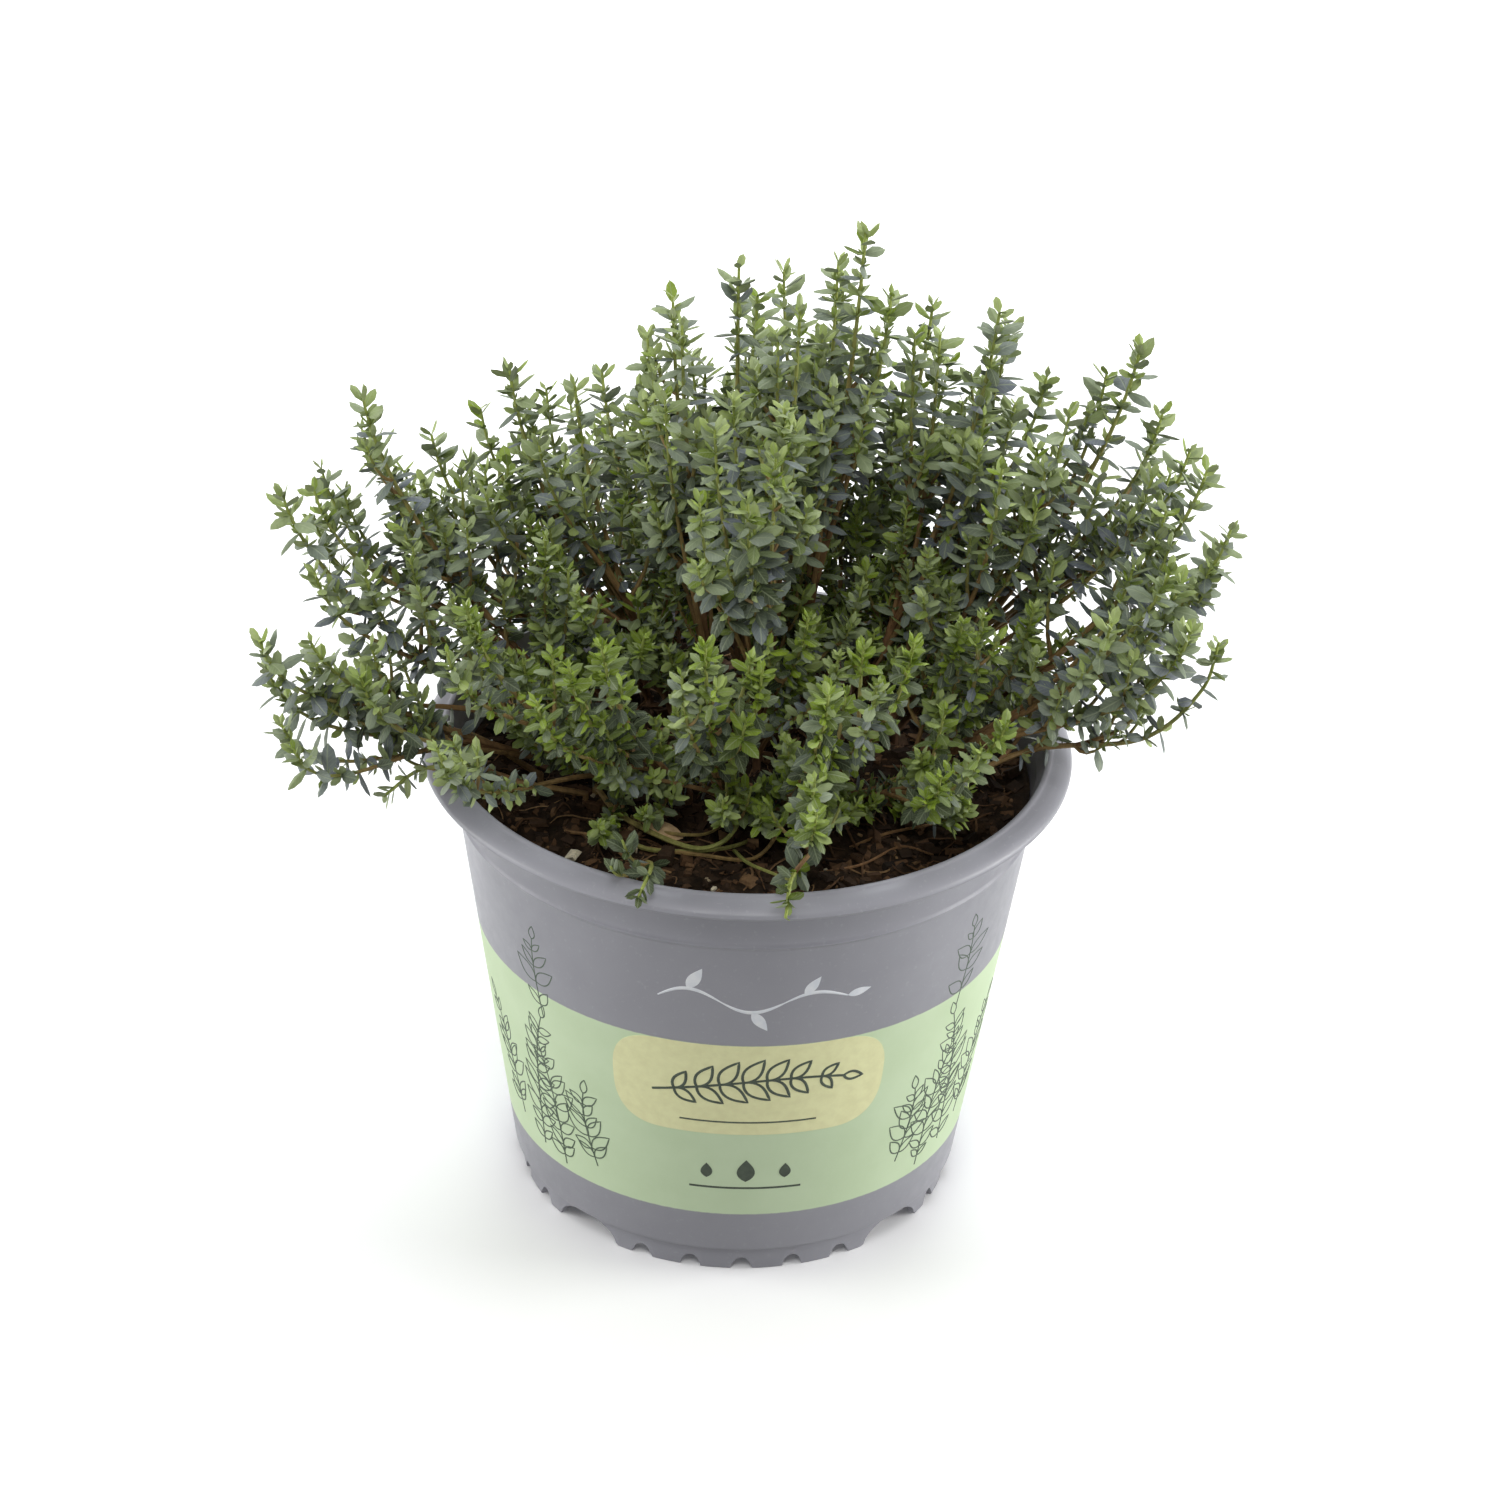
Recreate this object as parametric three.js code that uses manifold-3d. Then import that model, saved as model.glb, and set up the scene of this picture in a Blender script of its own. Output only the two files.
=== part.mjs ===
// Potted common thyme in a grey nursery pot. Millimetres, +Z up, the front looks towards -Y.
import * as THREE from 'three';
import { mergeVertices } from 'three/addons/utils/BufferGeometryUtils.js';
import Module from 'manifold-3d';

const wasm = await Module();
wasm.setup();

// Sizes of the pot
const POT_HEIGHT = 107;
const RIM_RADIUS = 70;
const RIM_INNER_RADIUS = 64.3;
const RIM_DROP = 3.4;
const BASE_RADIUS = 48.2;
const WALL_SLOPE = 0.151;
const WALL = 1.2;
const FLOOR_TOP = 8;
const FOOT_HEIGHT = 6.2;
const FOOT_INSET = 0.8;
const FOOT_WIDTH = 1.5;
const RIDGE_Z = 92.2;
const RIDGE_HEIGHT = 1.1;
const RIDGE_OUT = 0.6;
const COLLAR_TOP = 101.6;
const POT_SEGMENTS = 32;
const FRONT_TURN = 3;
const ARCH_WIDTH = 17;
const ARCH_HEIGHT = 5.1;
const NOTCH_WIDTH = 4.4;
const NOTCH_HEIGHT = 3;
const NOTCH_STEP = 13.5;
const DRAIN_RADIUS = 4;
const DRAIN_CIRCLE = 30;
const DRAIN_COUNT = 5;

// Sizes of the potting soil
const SOIL_TOP = 96.5;
const SOIL_CROWN = 2.5;
const SOIL_GAP = 0.3;
const SOIL_RINGS = 4;
const SOIL_SEGMENTS = 16;
const HOLE_RADIUS = 2.1;

// Sizes of a stem, with its steps closer together towards the tip
const STEM_BASE_RADIUS = 1.05;
const STEM_TIP_RADIUS = 0.6;
const STEM_IN_SOIL = 7;
const STEM_COLLAR = 2.5;
const STEM_STEPS = 5;
const TIP_CROWDING = 1.35;
const LONG_SHOOT = 88;

// How a stem leaves its root and meets its tip, as shares of its reach and its rise
const ROOT_LEAN = 0.42;
const ROOT_RISE = 0.33;
const TIP_LEAN = 0.1;
const TIP_RISE = 0.34;

// Side twigs: where they leave the stem, how they open and how they turn up
const TWIG_SEATS = [0.42, 0.62];
const TWIG_LENGTH = 21;
const TWIG_SHORTER = 4;
const TWIG_ROOT_RADIUS = 0.42;
const TWIG_RADIUS = 0.52;
const TWIG_OPENING = 0.9;
const TWIG_UPTURN = 0.2;
const TWIG_LEAVES_AT = [0.48, 0.97];

// Sizes of a leaf, with its widest and its last corner as shares of its length
const LEAF_LENGTH = 10;
const LEAF_WIDTH = 5;
const LEAF_THICKNESS = 1;
const LEAF_WIDEST = 0.42;
const LEAF_SHOULDER = 0.8;
const LEAF_SHOULDER_WIDTH = 0.62;
const LEAF_SINK = 0.1;
const LEAF_AT = 0.05;
const STEM_LEAF = { opening: 1.15, size: 1 };
const TOP_LEAF = { opening: 0.8, size: 0.85 };
const TWIG_LEAF = { opening: 0.95, size: 0.85 };

// Ways of bending a leaf that would touch a neighbour: a turn about the stem and a change of opening
const LEAF_BENDS = [[0, 0], [0, -0.4], [0.5, 0], [-0.5, 0], [0.9, -0.3], [-0.9, -0.3]];
const CLEARANCE = 0.35;

// The bush: tips on a spiral that fills an oval, under a flat dome
const BUSH_SHOOTS = 28;
const GOLDEN_ANGLE = 2.39996;
const BUSH_SIDE = 99;
const BUSH_FRONT = 66;
const BUSH_BACK = 84;
const DOME_TOP = 206;
const DOME_DROP = 52;
const HEIGHT_SCATTER = 14;
const TURN_SCATTER = 0.2;
const ROOT_SHRINK = 0.4;
const ROOT_CENTRE_Y = 5;
const SEED = 2025;

// Tips that stand out on the bush's outline: x, y, z
const STANDING_TIPS = [
  [21, 15, 219], [-5, 30, 203], [-19, 42, 190], [-39, 24, 177], [-54, 46, 169], [-83, 10, 180],
  [-98, -10, 166], [53, 35, 189], [37, 54, 184], [65, 5, 184], [80, 22, 191], [94, 0, 174],
  [-91, -27, 141], [86, -22, 162], [-30, -50, 156], [-9, -61, 163], [16, -64, 154], [33, -52, 160],
  [53, -50, 141], [-58, -40, 158], [8, 6, 205], [-70, 32, 160],
];

// Stems that leave the pot low or trail on the soil: points from the root to the tip
const LOW_SHOOTS = [
  { name: 'trailing_shoot_left_rim', points: [[-34, -16], [-54, -22, 107], [-67, -27, 112], [-76, -31, 107]] },
  { name: 'trailing_shoot_front', points: [[17, -30], [13, -48, 105], [10, -64, 110.5], [9, -75, 108]] },
  { name: 'trailing_shoot_front_left', points: [[-20, -42], [-19, -53, 106], [-19, -64, 111], [-21, -72, 110]] },
  {
    name: 'trailing_shoot_right',
    points: [[39, -12], [60, -10, 111], [84, -7, 113], [96, -5, 124], [99, -5, 136]],
  },
  {
    name: 'trailing_shoot_soil',
    points: [[-32, -14], [-25, -27, 101], [-9, -38, 101], [-1, -36, 108], [-5, -31, 124]],
  },
  { name: 'trailing_shoot_left', points: [[-44, -8], [-60, -12, 112], [-78, -16, 115], [-90, -19, 123]] },
];

const material = (color, roughness) => new THREE.MeshStandardMaterial({ color, roughness, metalness: 0 });
const POT_GREY = material(0x92929a, 0.5);
const SOIL_BROWN = material(0x2c1f1a, 0.95);
const THYME_GREEN = material(0x4f6d3a, 0.6);

const radians = THREE.MathUtils.degToRad;
const lerp = THREE.MathUtils.lerp;
const UP = new THREE.Vector3(0, 0, 1);

// Repeatable draws between 0 and 1
function makeRandom(seed) {
  let state = seed;
  return () => {
    state = (state * 1664525 + 1013904223) % 4294967296;
    return state / 4294967296;
  };
}

// A closed three.js geometry as a solid
function toSolid(geometry) {
  const bare = geometry.clone();
  bare.deleteAttribute('normal');
  bare.deleteAttribute('uv');
  const merged = mergeVertices(bare, 1e-4);
  return new wasm.Manifold(new wasm.Mesh({
    numProp: 3,
    vertProperties: Float32Array.from(merged.attributes.position.array),
    triVerts: Uint32Array.from(merged.index.array),
  }));
}

// A solid as a named three.js mesh
function toMesh(name, solid, finish) {
  const data = solid.getMesh();
  const geometry = new THREE.BufferGeometry();
  geometry.setAttribute('position', new THREE.BufferAttribute(data.vertProperties, 3));
  geometry.setIndex(new THREE.BufferAttribute(data.triVerts, 1));
  geometry.computeVertexNormals();
  const mesh = new THREE.Mesh(geometry, finish);
  mesh.name = name;
  return mesh;
}

function turned(profile, segments) {
  const points = profile.map(([r, z]) => new THREE.Vector2(r, z));
  return new THREE.LatheGeometry(points, segments).rotateX(Math.PI / 2);
}

const bodyRadius = (z) => BASE_RADIUS + WALL_SLOPE * z;
const innerRadius = (z) => bodyRadius(z) - WALL;

// Half section of the pot, from the middle of its underside round to the middle of its floor
function potProfile() {
  const foot = bodyRadius(0) - FOOT_INSET;
  const ridge = bodyRadius(RIDGE_Z);
  const rimLow = POT_HEIGHT - RIM_DROP;
  return [
    [0, FLOOR_TOP - WALL], [foot - FOOT_WIDTH, FLOOR_TOP - WALL],
    [foot - FOOT_WIDTH, 0], [foot, 0],
    [foot + 0.2, FOOT_HEIGHT - 0.7], [bodyRadius(FOOT_HEIGHT), FOOT_HEIGHT],
    [ridge, RIDGE_Z - RIDGE_HEIGHT / 2], [ridge + RIDGE_OUT, RIDGE_Z], [ridge, RIDGE_Z + RIDGE_HEIGHT / 2],
    [bodyRadius(COLLAR_TOP) - 0.3, COLLAR_TOP - 0.8],
    [RIM_RADIUS - 1.2, rimLow - 0.8], [RIM_RADIUS, rimLow], [RIM_RADIUS - 1.2, POT_HEIGHT - 1],
    [RIM_INNER_RADIUS + 1.6, POT_HEIGHT], [RIM_INNER_RADIUS, POT_HEIGHT - 0.5],
    [innerRadius(COLLAR_TOP), COLLAR_TOP], [innerRadius(FLOOR_TOP), FLOOR_TOP], [0, FLOOR_TOP],
  ];
}

// A rounded cutter that opens the foot ring from outside to inside
function footCutter(width, height, sides, degrees) {
  const cutter = new THREE.CylinderGeometry(width / 2, width / 2, 2 * FOOT_WIDTH + 4, sides);
  cutter.scale(1, 1, (2 * height) / width);
  cutter.translate(0, -bodyRadius(0) + FOOT_WIDTH, 0);
  return toSolid(cutter.rotateZ(radians(degrees)));
}

function makePot() {
  let pot = toSolid(turned(potProfile(), POT_SEGMENTS));
  for (let quarter = 0; quarter < 4; quarter += 1) {
    const middle = FRONT_TURN + 90 * quarter;
    pot = pot.subtract(footCutter(ARCH_WIDTH, ARCH_HEIGHT, 10, middle + 45));
    for (let notch = -2; notch <= 2; notch += 1) {
      pot = pot.subtract(footCutter(NOTCH_WIDTH, NOTCH_HEIGHT, 6, middle + NOTCH_STEP * notch));
    }
  }
  for (let hole = 0; hole < DRAIN_COUNT; hole += 1) {
    const drain = new THREE.CylinderGeometry(DRAIN_RADIUS, DRAIN_RADIUS, 4 * WALL, 6).rotateX(Math.PI / 2);
    drain.translate(DRAIN_CIRCLE, 0, FLOOR_TOP - WALL / 2);
    pot = pot.subtract(toSolid(drain.rotateZ((2 * Math.PI * hole) / DRAIN_COUNT)));
  }
  return pot;
}

// Height of the soil: a low crown with clods and hollows
function soilHeight(x, y) {
  const inward = 1 - Math.hypot(x, y) / innerRadius(SOIL_TOP);
  const clods = Math.sin(0.31 * x + 1.3) * Math.cos(0.27 * y) + 0.6 * Math.sin(0.52 * y - 0.44 * x);
  return SOIL_TOP + SOIL_CROWN * inward + clods * Math.min(1, 4 * inward);
}

function makeSoil(roots) {
  const edge = innerRadius(SOIL_TOP) - SOIL_GAP;
  const floor = FLOOR_TOP + SOIL_GAP;
  const profile = [[0, floor], [innerRadius(floor) - SOIL_GAP, floor], [edge, SOIL_TOP]];
  for (let ring = 1; ring <= SOIL_RINGS; ring += 1) {
    profile.push([edge * (1 - ring / SOIL_RINGS), SOIL_TOP]);
  }
  const geometry = turned(profile, SOIL_SEGMENTS);
  const place = geometry.attributes.position;
  for (let i = 0; i < place.count; i += 1) {
    const onTop = place.getZ(i) > SOIL_TOP - 0.1 && Math.hypot(place.getX(i), place.getY(i)) < edge - 1;
    if (onTop) place.setZ(i, soilHeight(place.getX(i), place.getY(i)));
  }
  const holes = roots.map((root) => {
    const hole = new THREE.CylinderGeometry(HOLE_RADIUS, HOLE_RADIUS, 2 * (STEM_IN_SOIL + SOIL_GAP), 4);
    return toSolid(hole.rotateX(Math.PI / 2).translate(root.x, root.y, root.z));
  });
  return toSolid(geometry).subtract(wasm.Manifold.union(holes));
}

// A path whose extrusion steps fall on the given stations
class StationPath extends THREE.Curve {
  constructor(stations) {
    super();
    this.stations = stations;
  }

  getPoint(t) {
    const last = this.stations.length - 1;
    const step = Math.min(Math.floor(t * last + 1e-9), last - 1);
    return this.stations[step].clone().lerp(this.stations[step + 1], t * last - step);
  }

  getPointAt(t) {
    return this.getPoint(t);
  }

  getTangentAt(t) {
    const reach = 0.5 / (this.stations.length - 1);
    const before = this.getPoint(Math.max(t - reach, 0));
    return this.getPoint(Math.min(t + reach, 1)).sub(before).normalize();
  }
}

// Directions square to the path at each station, turned about it by the given angle
function framesAlong(stations, turn) {
  const path = new StationPath(stations);
  const { normals, binormals } = path.computeFrenetFrames(stations.length - 1, false);
  const side = (k, angle) => normals[k].clone().multiplyScalar(Math.cos(turn + angle))
    .addScaledVector(binormals[k], Math.sin(turn + angle));
  return { path, side };
}

// A four-sided stem through the stations, slimmer towards its tip
function stemSolid(stations, turn, baseRadius, tipRadius) {
  const corners = [0, 1, 2, 3].map((k) => turn + (k * Math.PI) / 2);
  const section = new THREE.Shape(corners.map((a) => new THREE.Vector2(Math.cos(a), Math.sin(a))));
  const steps = stations.length - 1;
  const extrudePath = new StationPath(stations);
  const geometry = new THREE.ExtrudeGeometry(section, { steps, bevelEnabled: false, extrudePath });
  const place = geometry.attributes.position;
  const point = new THREE.Vector3();
  for (let i = 0; i < place.count; i += 1) {
    point.fromBufferAttribute(place, i);
    const gaps = stations.map((station) => station.distanceTo(point));
    const near = gaps.indexOf(Math.min(...gaps));
    const radius = lerp(baseRadius, tipRadius, near / steps);
    point.sub(stations[near]).setLength(radius).add(stations[near]);
    place.setXYZ(i, point.x, point.y, point.z);
  }
  return toSolid(geometry);
}

// A point on a stem at a share of its length, with the directions of its four faces
function onStem(stations, turn, t) {
  const { path, side } = framesAlong(stations, turn);
  const step = Math.min(Math.floor(t * (stations.length - 1)), stations.length - 2);
  const tangent = stations[step + 1].clone().sub(stations[step]).normalize();
  const face = (k) => {
    const angle = Math.PI / 4 + (k * Math.PI) / 2;
    const out = side(step, angle).add(side(step + 1, angle));
    return out.addScaledVector(tangent, -out.dot(tangent)).normalize();
  };
  return { point: path.getPoint(t), tangent, face };
}

// A leaf leaves its stem at an opening angle, flat below and raised to a midrib above.
// Its base lies inside the stem. A margin makes the guard that keeps neighbours apart.
function leafSolid({ point, tangent, out, opening, size }, margin) {
  const length = LEAF_LENGTH * size;
  const half = (LEAF_WIDTH * size) / 2 + margin;
  const widest = LEAF_WIDEST * length;
  const shoulder = LEAF_SHOULDER * length;
  const narrow = LEAF_SHOULDER_WIDTH * half;
  const outline = [
    [-LEAF_SINK, 0], [widest, half], [shoulder, narrow],
    [length + margin, 0], [shoulder, -narrow], [widest, -half],
  ];
  const points = outline.map(([x, z]) => [x, -margin, z]);
  points.push([0.5 * length, LEAF_THICKNESS + margin, 0]);
  const upperFaces = outline.map((_, k) => [6, k, (k + 1) % 6]);
  const lowerFaces = [[0, 5, 1], [5, 4, 1], [4, 2, 1], [4, 3, 2]];
  const geometry = new THREE.BufferGeometry();
  geometry.setAttribute('position', new THREE.Float32BufferAttribute(points.flat(), 3));
  geometry.setIndex([...upperFaces, ...lowerFaces].flat());
  const along = tangent.clone().multiplyScalar(Math.cos(opening)).addScaledVector(out, Math.sin(opening));
  const upper = tangent.clone().addScaledVector(along, -tangent.dot(along)).normalize();
  const across = new THREE.Vector3().crossVectors(along, upper);
  geometry.applyMatrix4(new THREE.Matrix4().makeBasis(along, upper, across).setPosition(point));
  return toSolid(geometry);
}

const rootAt = (x, y) => new THREE.Vector3(x, y, soilHeight(x, y));

// Root, tip and stations of every shoot of the bush
function bushShoots() {
  const random = makeRandom(SEED);
  const tips = [];
  for (let i = 0; i < BUSH_SHOOTS; i += 1) {
    const spread = Math.sqrt((i + 0.5) / BUSH_SHOOTS);
    const azimuth = i * GOLDEN_ANGLE + TURN_SCATTER * (random() - 0.5);
    const depth = Math.sin(azimuth) > 0 ? BUSH_BACK : BUSH_FRONT;
    const height = DOME_TOP - DOME_DROP * spread ** 4 - HEIGHT_SCATTER * random();
    tips.push([BUSH_SIDE * Math.cos(azimuth) * spread, depth * Math.sin(azimuth) * spread, height]);
  }
  const free = new Set(tips.keys());
  for (const tip of STANDING_TIPS) {
    const away = (k) => Math.hypot(tips[k][0] - tip[0], tips[k][1] - tip[1]);
    const nearest = [...free].reduce((best, k) => (away(k) < away(best) ? k : best));
    free.delete(nearest);
    tips[nearest] = tip;
  }
  return tips.map(([x, y, z], i) => {
    const root = rootAt(x * ROOT_SHRINK, y * ROOT_SHRINK + ROOT_CENTRE_Y);
    const tip = new THREE.Vector3(x, y, z);
    const out = tip.clone().sub(root).setZ(0);
    const lift = z - root.z;
    const collar = root.clone().addScaledVector(UP, STEM_COLLAR);
    const lower = root.clone().addScaledVector(out, ROOT_LEAN).addScaledVector(UP, ROOT_RISE * lift);
    const upper = tip.clone().addScaledVector(out, -TIP_LEAN).addScaledVector(UP, -TIP_RISE * lift);
    const curve = new THREE.CubicBezierCurve3(collar, lower, upper, tip);
    const name = `shoot_${String(i + 1).padStart(2, '0')}`;
    const pairs = curve.getLength() > LONG_SHOOT ? 5 : 4;
    return { name, root, curve, pairs, twigs: 2, turn: Math.PI * random() };
  });
}

function lowShoots() {
  return LOW_SHOOTS.map(({ name, points }, i) => {
    const root = rootAt(...points[0]);
    const rest = points.slice(1).map((p) => new THREE.Vector3(...p));
    const collar = root.clone().addScaledVector(UP, STEM_COLLAR);
    const curve = new THREE.CatmullRomCurve3([collar, ...rest], false, 'catmullrom', 0.5);
    return { name, root, curve, pairs: 4, twigs: 1, turn: 1.1 * i };
  });
}

// Stations of a shoot's stem, from its end in the soil
function stemStations(shoot) {
  const stations = [shoot.root.clone().addScaledVector(UP, -STEM_IN_SOIL)];
  for (let k = 0; k <= STEM_STEPS; k += 1) {
    stations.push(shoot.curve.getPoint(1 - (1 - k / STEM_STEPS) ** TIP_CROWDING));
  }
  return stations;
}

const boxOf = (solid) => {
  const { min, max } = solid.boundingBox();
  return new THREE.Box3(new THREE.Vector3(...min), new THREE.Vector3(...max));
};

function crosses(solid, others) {
  const box = boxOf(solid);
  return others.some((other) => other.box.intersectsBox(box) && !solid.intersect(other.solid).isEmpty());
}

// A short twig that leaves the stem through one of its faces and bends upwards
function twigStations({ point, tangent }, out, length) {
  const along = tangent.clone().multiplyScalar(Math.cos(TWIG_OPENING));
  along.addScaledVector(out, Math.sin(TWIG_OPENING));
  const bend = point.clone().addScaledVector(along, length / 2);
  const end = bend.clone().addScaledVector(along, 0.35 * length).addScaledVector(UP, TWIG_UPTURN * length);
  return [point, bend, end];
}

// Where each leaf of a shoot stands: pairs on opposite faces, each pair square to the one below
function leafSpots(shoot) {
  const spots = [];
  for (let pair = 0; pair < shoot.pairs; pair += 1) {
    const below = shoot.pairs - 1 - pair;
    const t = 1 - (below + LEAF_AT) / STEM_STEPS;
    const { point, tangent, face } = onStem(shoot.stations.slice(1), shoot.turn, t);
    const leaf = below === 0 ? TOP_LEAF : STEM_LEAF;
    for (const side of [0, 2]) spots.push({ point, tangent, out: face(pair + side), ...leaf });
  }
  for (const twig of shoot.twigLines) {
    for (const [pair, t] of TWIG_LEAVES_AT.entries()) {
      const { point, tangent, face } = onStem(twig, shoot.turn, t);
      for (const side of [0, 2]) spots.push({ point, tangent, out: face(pair + side), ...TWIG_LEAF });
    }
  }
  return spots;
}

// The first way of holding a piece in which it is clear of the other nodes
function firstClear(ways, others) {
  return ways.find(({ guard }) => !crosses(guard, others));
}

function growTwigs(shoot, others) {
  shoot.twigLines = [];
  const twigs = [];
  for (let k = 0; k < shoot.twigs; k += 1) {
    const seat = onStem(shoot.stations.slice(1), shoot.turn, TWIG_SEATS[k]);
    const ways = [0, 1, 2, 3].map((turn) => {
      const line = twigStations(seat, seat.face(k + 1 + turn), TWIG_LENGTH - TWIG_SHORTER * k);
      return { line, guard: stemSolid(line, shoot.turn, 1, 3) };
    });
    const way = firstClear(ways, others);
    if (!way) continue;
    shoot.twigLines.push(way.line);
    twigs.push(stemSolid(way.line, shoot.turn, TWIG_ROOT_RADIUS, TWIG_RADIUS));
  }
  shoot.solid = wasm.Manifold.union([shoot.solid, ...twigs]);
  shoot.box = boxOf(shoot.solid);
}

function growLeaves(shoot, others) {
  const leaves = [];
  for (const spot of leafSpots(shoot)) {
    const ways = LEAF_BENDS.map(([turn, close]) => {
      const out = spot.out.clone().applyAxisAngle(spot.tangent, turn);
      const bent = { ...spot, out, opening: spot.opening + close };
      return { bent, guard: leafSolid(bent, CLEARANCE) };
    });
    const way = firstClear(ways, others);
    if (way) leaves.push(leafSolid(way.bent, 0));
  }
  const fused = wasm.Manifold.union([shoot.solid, ...leaves]);
  const bodies = fused.decompose().sort((a, b) => b.volume() - a.volume());
  shoot.solid = bodies[0].simplify(0.01);
  shoot.box = boxOf(shoot.solid);
}

// Stems first, then twigs, then leaves, each clear of the pot, the soil and every other shoot
function growShoots(shoots, fixed) {
  for (const shoot of shoots) {
    shoot.stations = stemStations(shoot);
    shoot.solid = stemSolid(shoot.stations, shoot.turn, STEM_BASE_RADIUS, STEM_TIP_RADIUS);
    shoot.box = boxOf(shoot.solid);
  }
  for (const grow of [growTwigs, growLeaves]) {
    for (const shoot of shoots) grow(shoot, [...fixed, ...shoots.filter((other) => other !== shoot)]);
  }
}

const potSolid = makePot();
const shoots = [...bushShoots(), ...lowShoots()];
const soilSolid = makeSoil(shoots.map((shoot) => shoot.root));
const pot = { solid: potSolid, box: boxOf(potSolid) };
const soil = { solid: soilSolid, box: boxOf(soilSolid) };
growShoots(shoots, [pot, soil]);

const plant = new THREE.Group();
plant.add(toMesh('pot', potSolid, POT_GREY));
plant.add(toMesh('potting_soil', soilSolid, SOIL_BROWN));
for (const shoot of shoots) plant.add(toMesh(shoot.name, shoot.solid, THYME_GREEN));

// The origin is the middle of the whole outline, at the foot of the pot
const outline = new THREE.Box3().setFromObject(plant);
const middle = outline.getCenter(new THREE.Vector3());
plant.position.set(-middle.x, -middle.y, 0);
plant.updateMatrixWorld(true);

export default plant;
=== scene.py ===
# Looks of the potted common thyme. Shapes are worked out in millimetres about the pot's axis.
import math
import random

import bpy
import numpy as np
from mathutils import Matrix, Vector, noise


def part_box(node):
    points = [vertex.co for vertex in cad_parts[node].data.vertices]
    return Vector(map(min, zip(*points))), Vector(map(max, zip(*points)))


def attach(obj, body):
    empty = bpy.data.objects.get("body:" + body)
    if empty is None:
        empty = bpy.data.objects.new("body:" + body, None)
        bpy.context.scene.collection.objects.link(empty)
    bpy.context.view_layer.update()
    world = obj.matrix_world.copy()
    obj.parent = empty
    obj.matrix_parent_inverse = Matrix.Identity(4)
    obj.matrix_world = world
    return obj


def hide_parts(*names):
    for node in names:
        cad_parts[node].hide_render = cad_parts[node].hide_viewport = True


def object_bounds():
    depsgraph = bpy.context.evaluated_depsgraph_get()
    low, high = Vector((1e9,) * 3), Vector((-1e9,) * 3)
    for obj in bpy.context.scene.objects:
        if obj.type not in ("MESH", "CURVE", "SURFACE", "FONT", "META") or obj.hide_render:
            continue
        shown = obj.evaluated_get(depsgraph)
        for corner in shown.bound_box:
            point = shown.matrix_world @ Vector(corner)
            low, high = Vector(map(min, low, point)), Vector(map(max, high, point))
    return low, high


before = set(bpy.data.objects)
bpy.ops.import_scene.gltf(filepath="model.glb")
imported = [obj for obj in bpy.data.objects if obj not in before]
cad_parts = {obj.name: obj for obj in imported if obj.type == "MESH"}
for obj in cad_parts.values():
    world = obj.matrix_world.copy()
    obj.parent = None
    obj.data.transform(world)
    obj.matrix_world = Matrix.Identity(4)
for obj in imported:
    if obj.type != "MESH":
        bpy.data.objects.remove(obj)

CAD_BOX = [list(corner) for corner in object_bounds()]
POT_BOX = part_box("pot")
MM = 0.001
AXIS = np.array([(POT_BOX[0][0] + POT_BOX[1][0]) / 2, (POT_BOX[0][1] + POT_BOX[1][1]) / 2, 0]) / MM
ROOM_LOW = np.array(CAD_BOX[0]) / MM - AXIS
ROOM_HIGH = np.array(CAD_BOX[1]) / MM - AXIS
UP = np.array([0.0, 0.0, 1.0])

# Sizes of the pot
POT_HEIGHT = 107
RIM_RADIUS = 70
RIM_INNER_RADIUS = 64.3
RIM_DROP = 3.4
BASE_RADIUS = 48.2
WALL_SLOPE = 0.151
WALL = 1.2
FLOOR_TOP = 8
FOOT_HEIGHT = 6.2
FOOT_INSET = 0.8
FOOT_WIDTH = 1.5
FOOT_EDGE = 0.5
RIDGE_Z = 92.2
COLLAR_TOP = 101.6
FRONT_TURN = 3
ARCH_WIDTH = 17
ARCH_HEIGHT = 5
NOTCH_WIDTH = 4.4
NOTCH_HEIGHT = 3
NOTCH_STEP = 13.5
DRAIN_RADIUS = 4
DRAIN_CIRCLE = 30
DRAIN_COUNT = 5
POT_SEGMENTS = 600
EDGE_ROUNDING = 0.45

# Sizes of the print
BAND_LOW = 16.8
BAND_HIGH = 65
PANEL_Z = 52.5
PANEL_WIDTH = 60
PANEL_HEIGHT = 25
PANEL_ROUNDING = 11
INK = 0.12
INK_EDGE = -0.03
LINE_WIDTH = 0.42
BAND_SOFTNESS = 0.12
UNDERLINE_Z = PANEL_Z - 9
UNDERLINE_REACH = 15
FLOURISH_Z = 77
FLOURISH_WIDTH = 38
DROPS_Z = 29
DROP_LINE_Z = 24.5
DROP_LINE_REACH = 13

# Three drops under the panel: place along the wall and size
DROPS = [(0, 5.2), (-9, 3.4), (9, 3.4)]

# Leaves of the flourish: place along the wall, heading and length
FLOURISH_LEAVES = [(-13, 1.1, 6.5), (0, -1.0, 6), (10, 1.0, 5.5), (19, 0.2, 5)]

# Sprigs beside the panel: place along the wall, height, heading, length, bend, pairs of leaves, leaf length
SIDE_SPRIGS = [
    (38, 22, 1.3, 20, 0.5, 6, 5), (46, 20, 1.5, 32, -0.3, 9, 5), (55, 20, 1.6, 38, 0.35, 10, 5),
    (64, 23, 1.4, 28, -0.4, 8, 5), (49, 60, 1.45, 21, 0.3, 4, 4.5),
]

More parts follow.
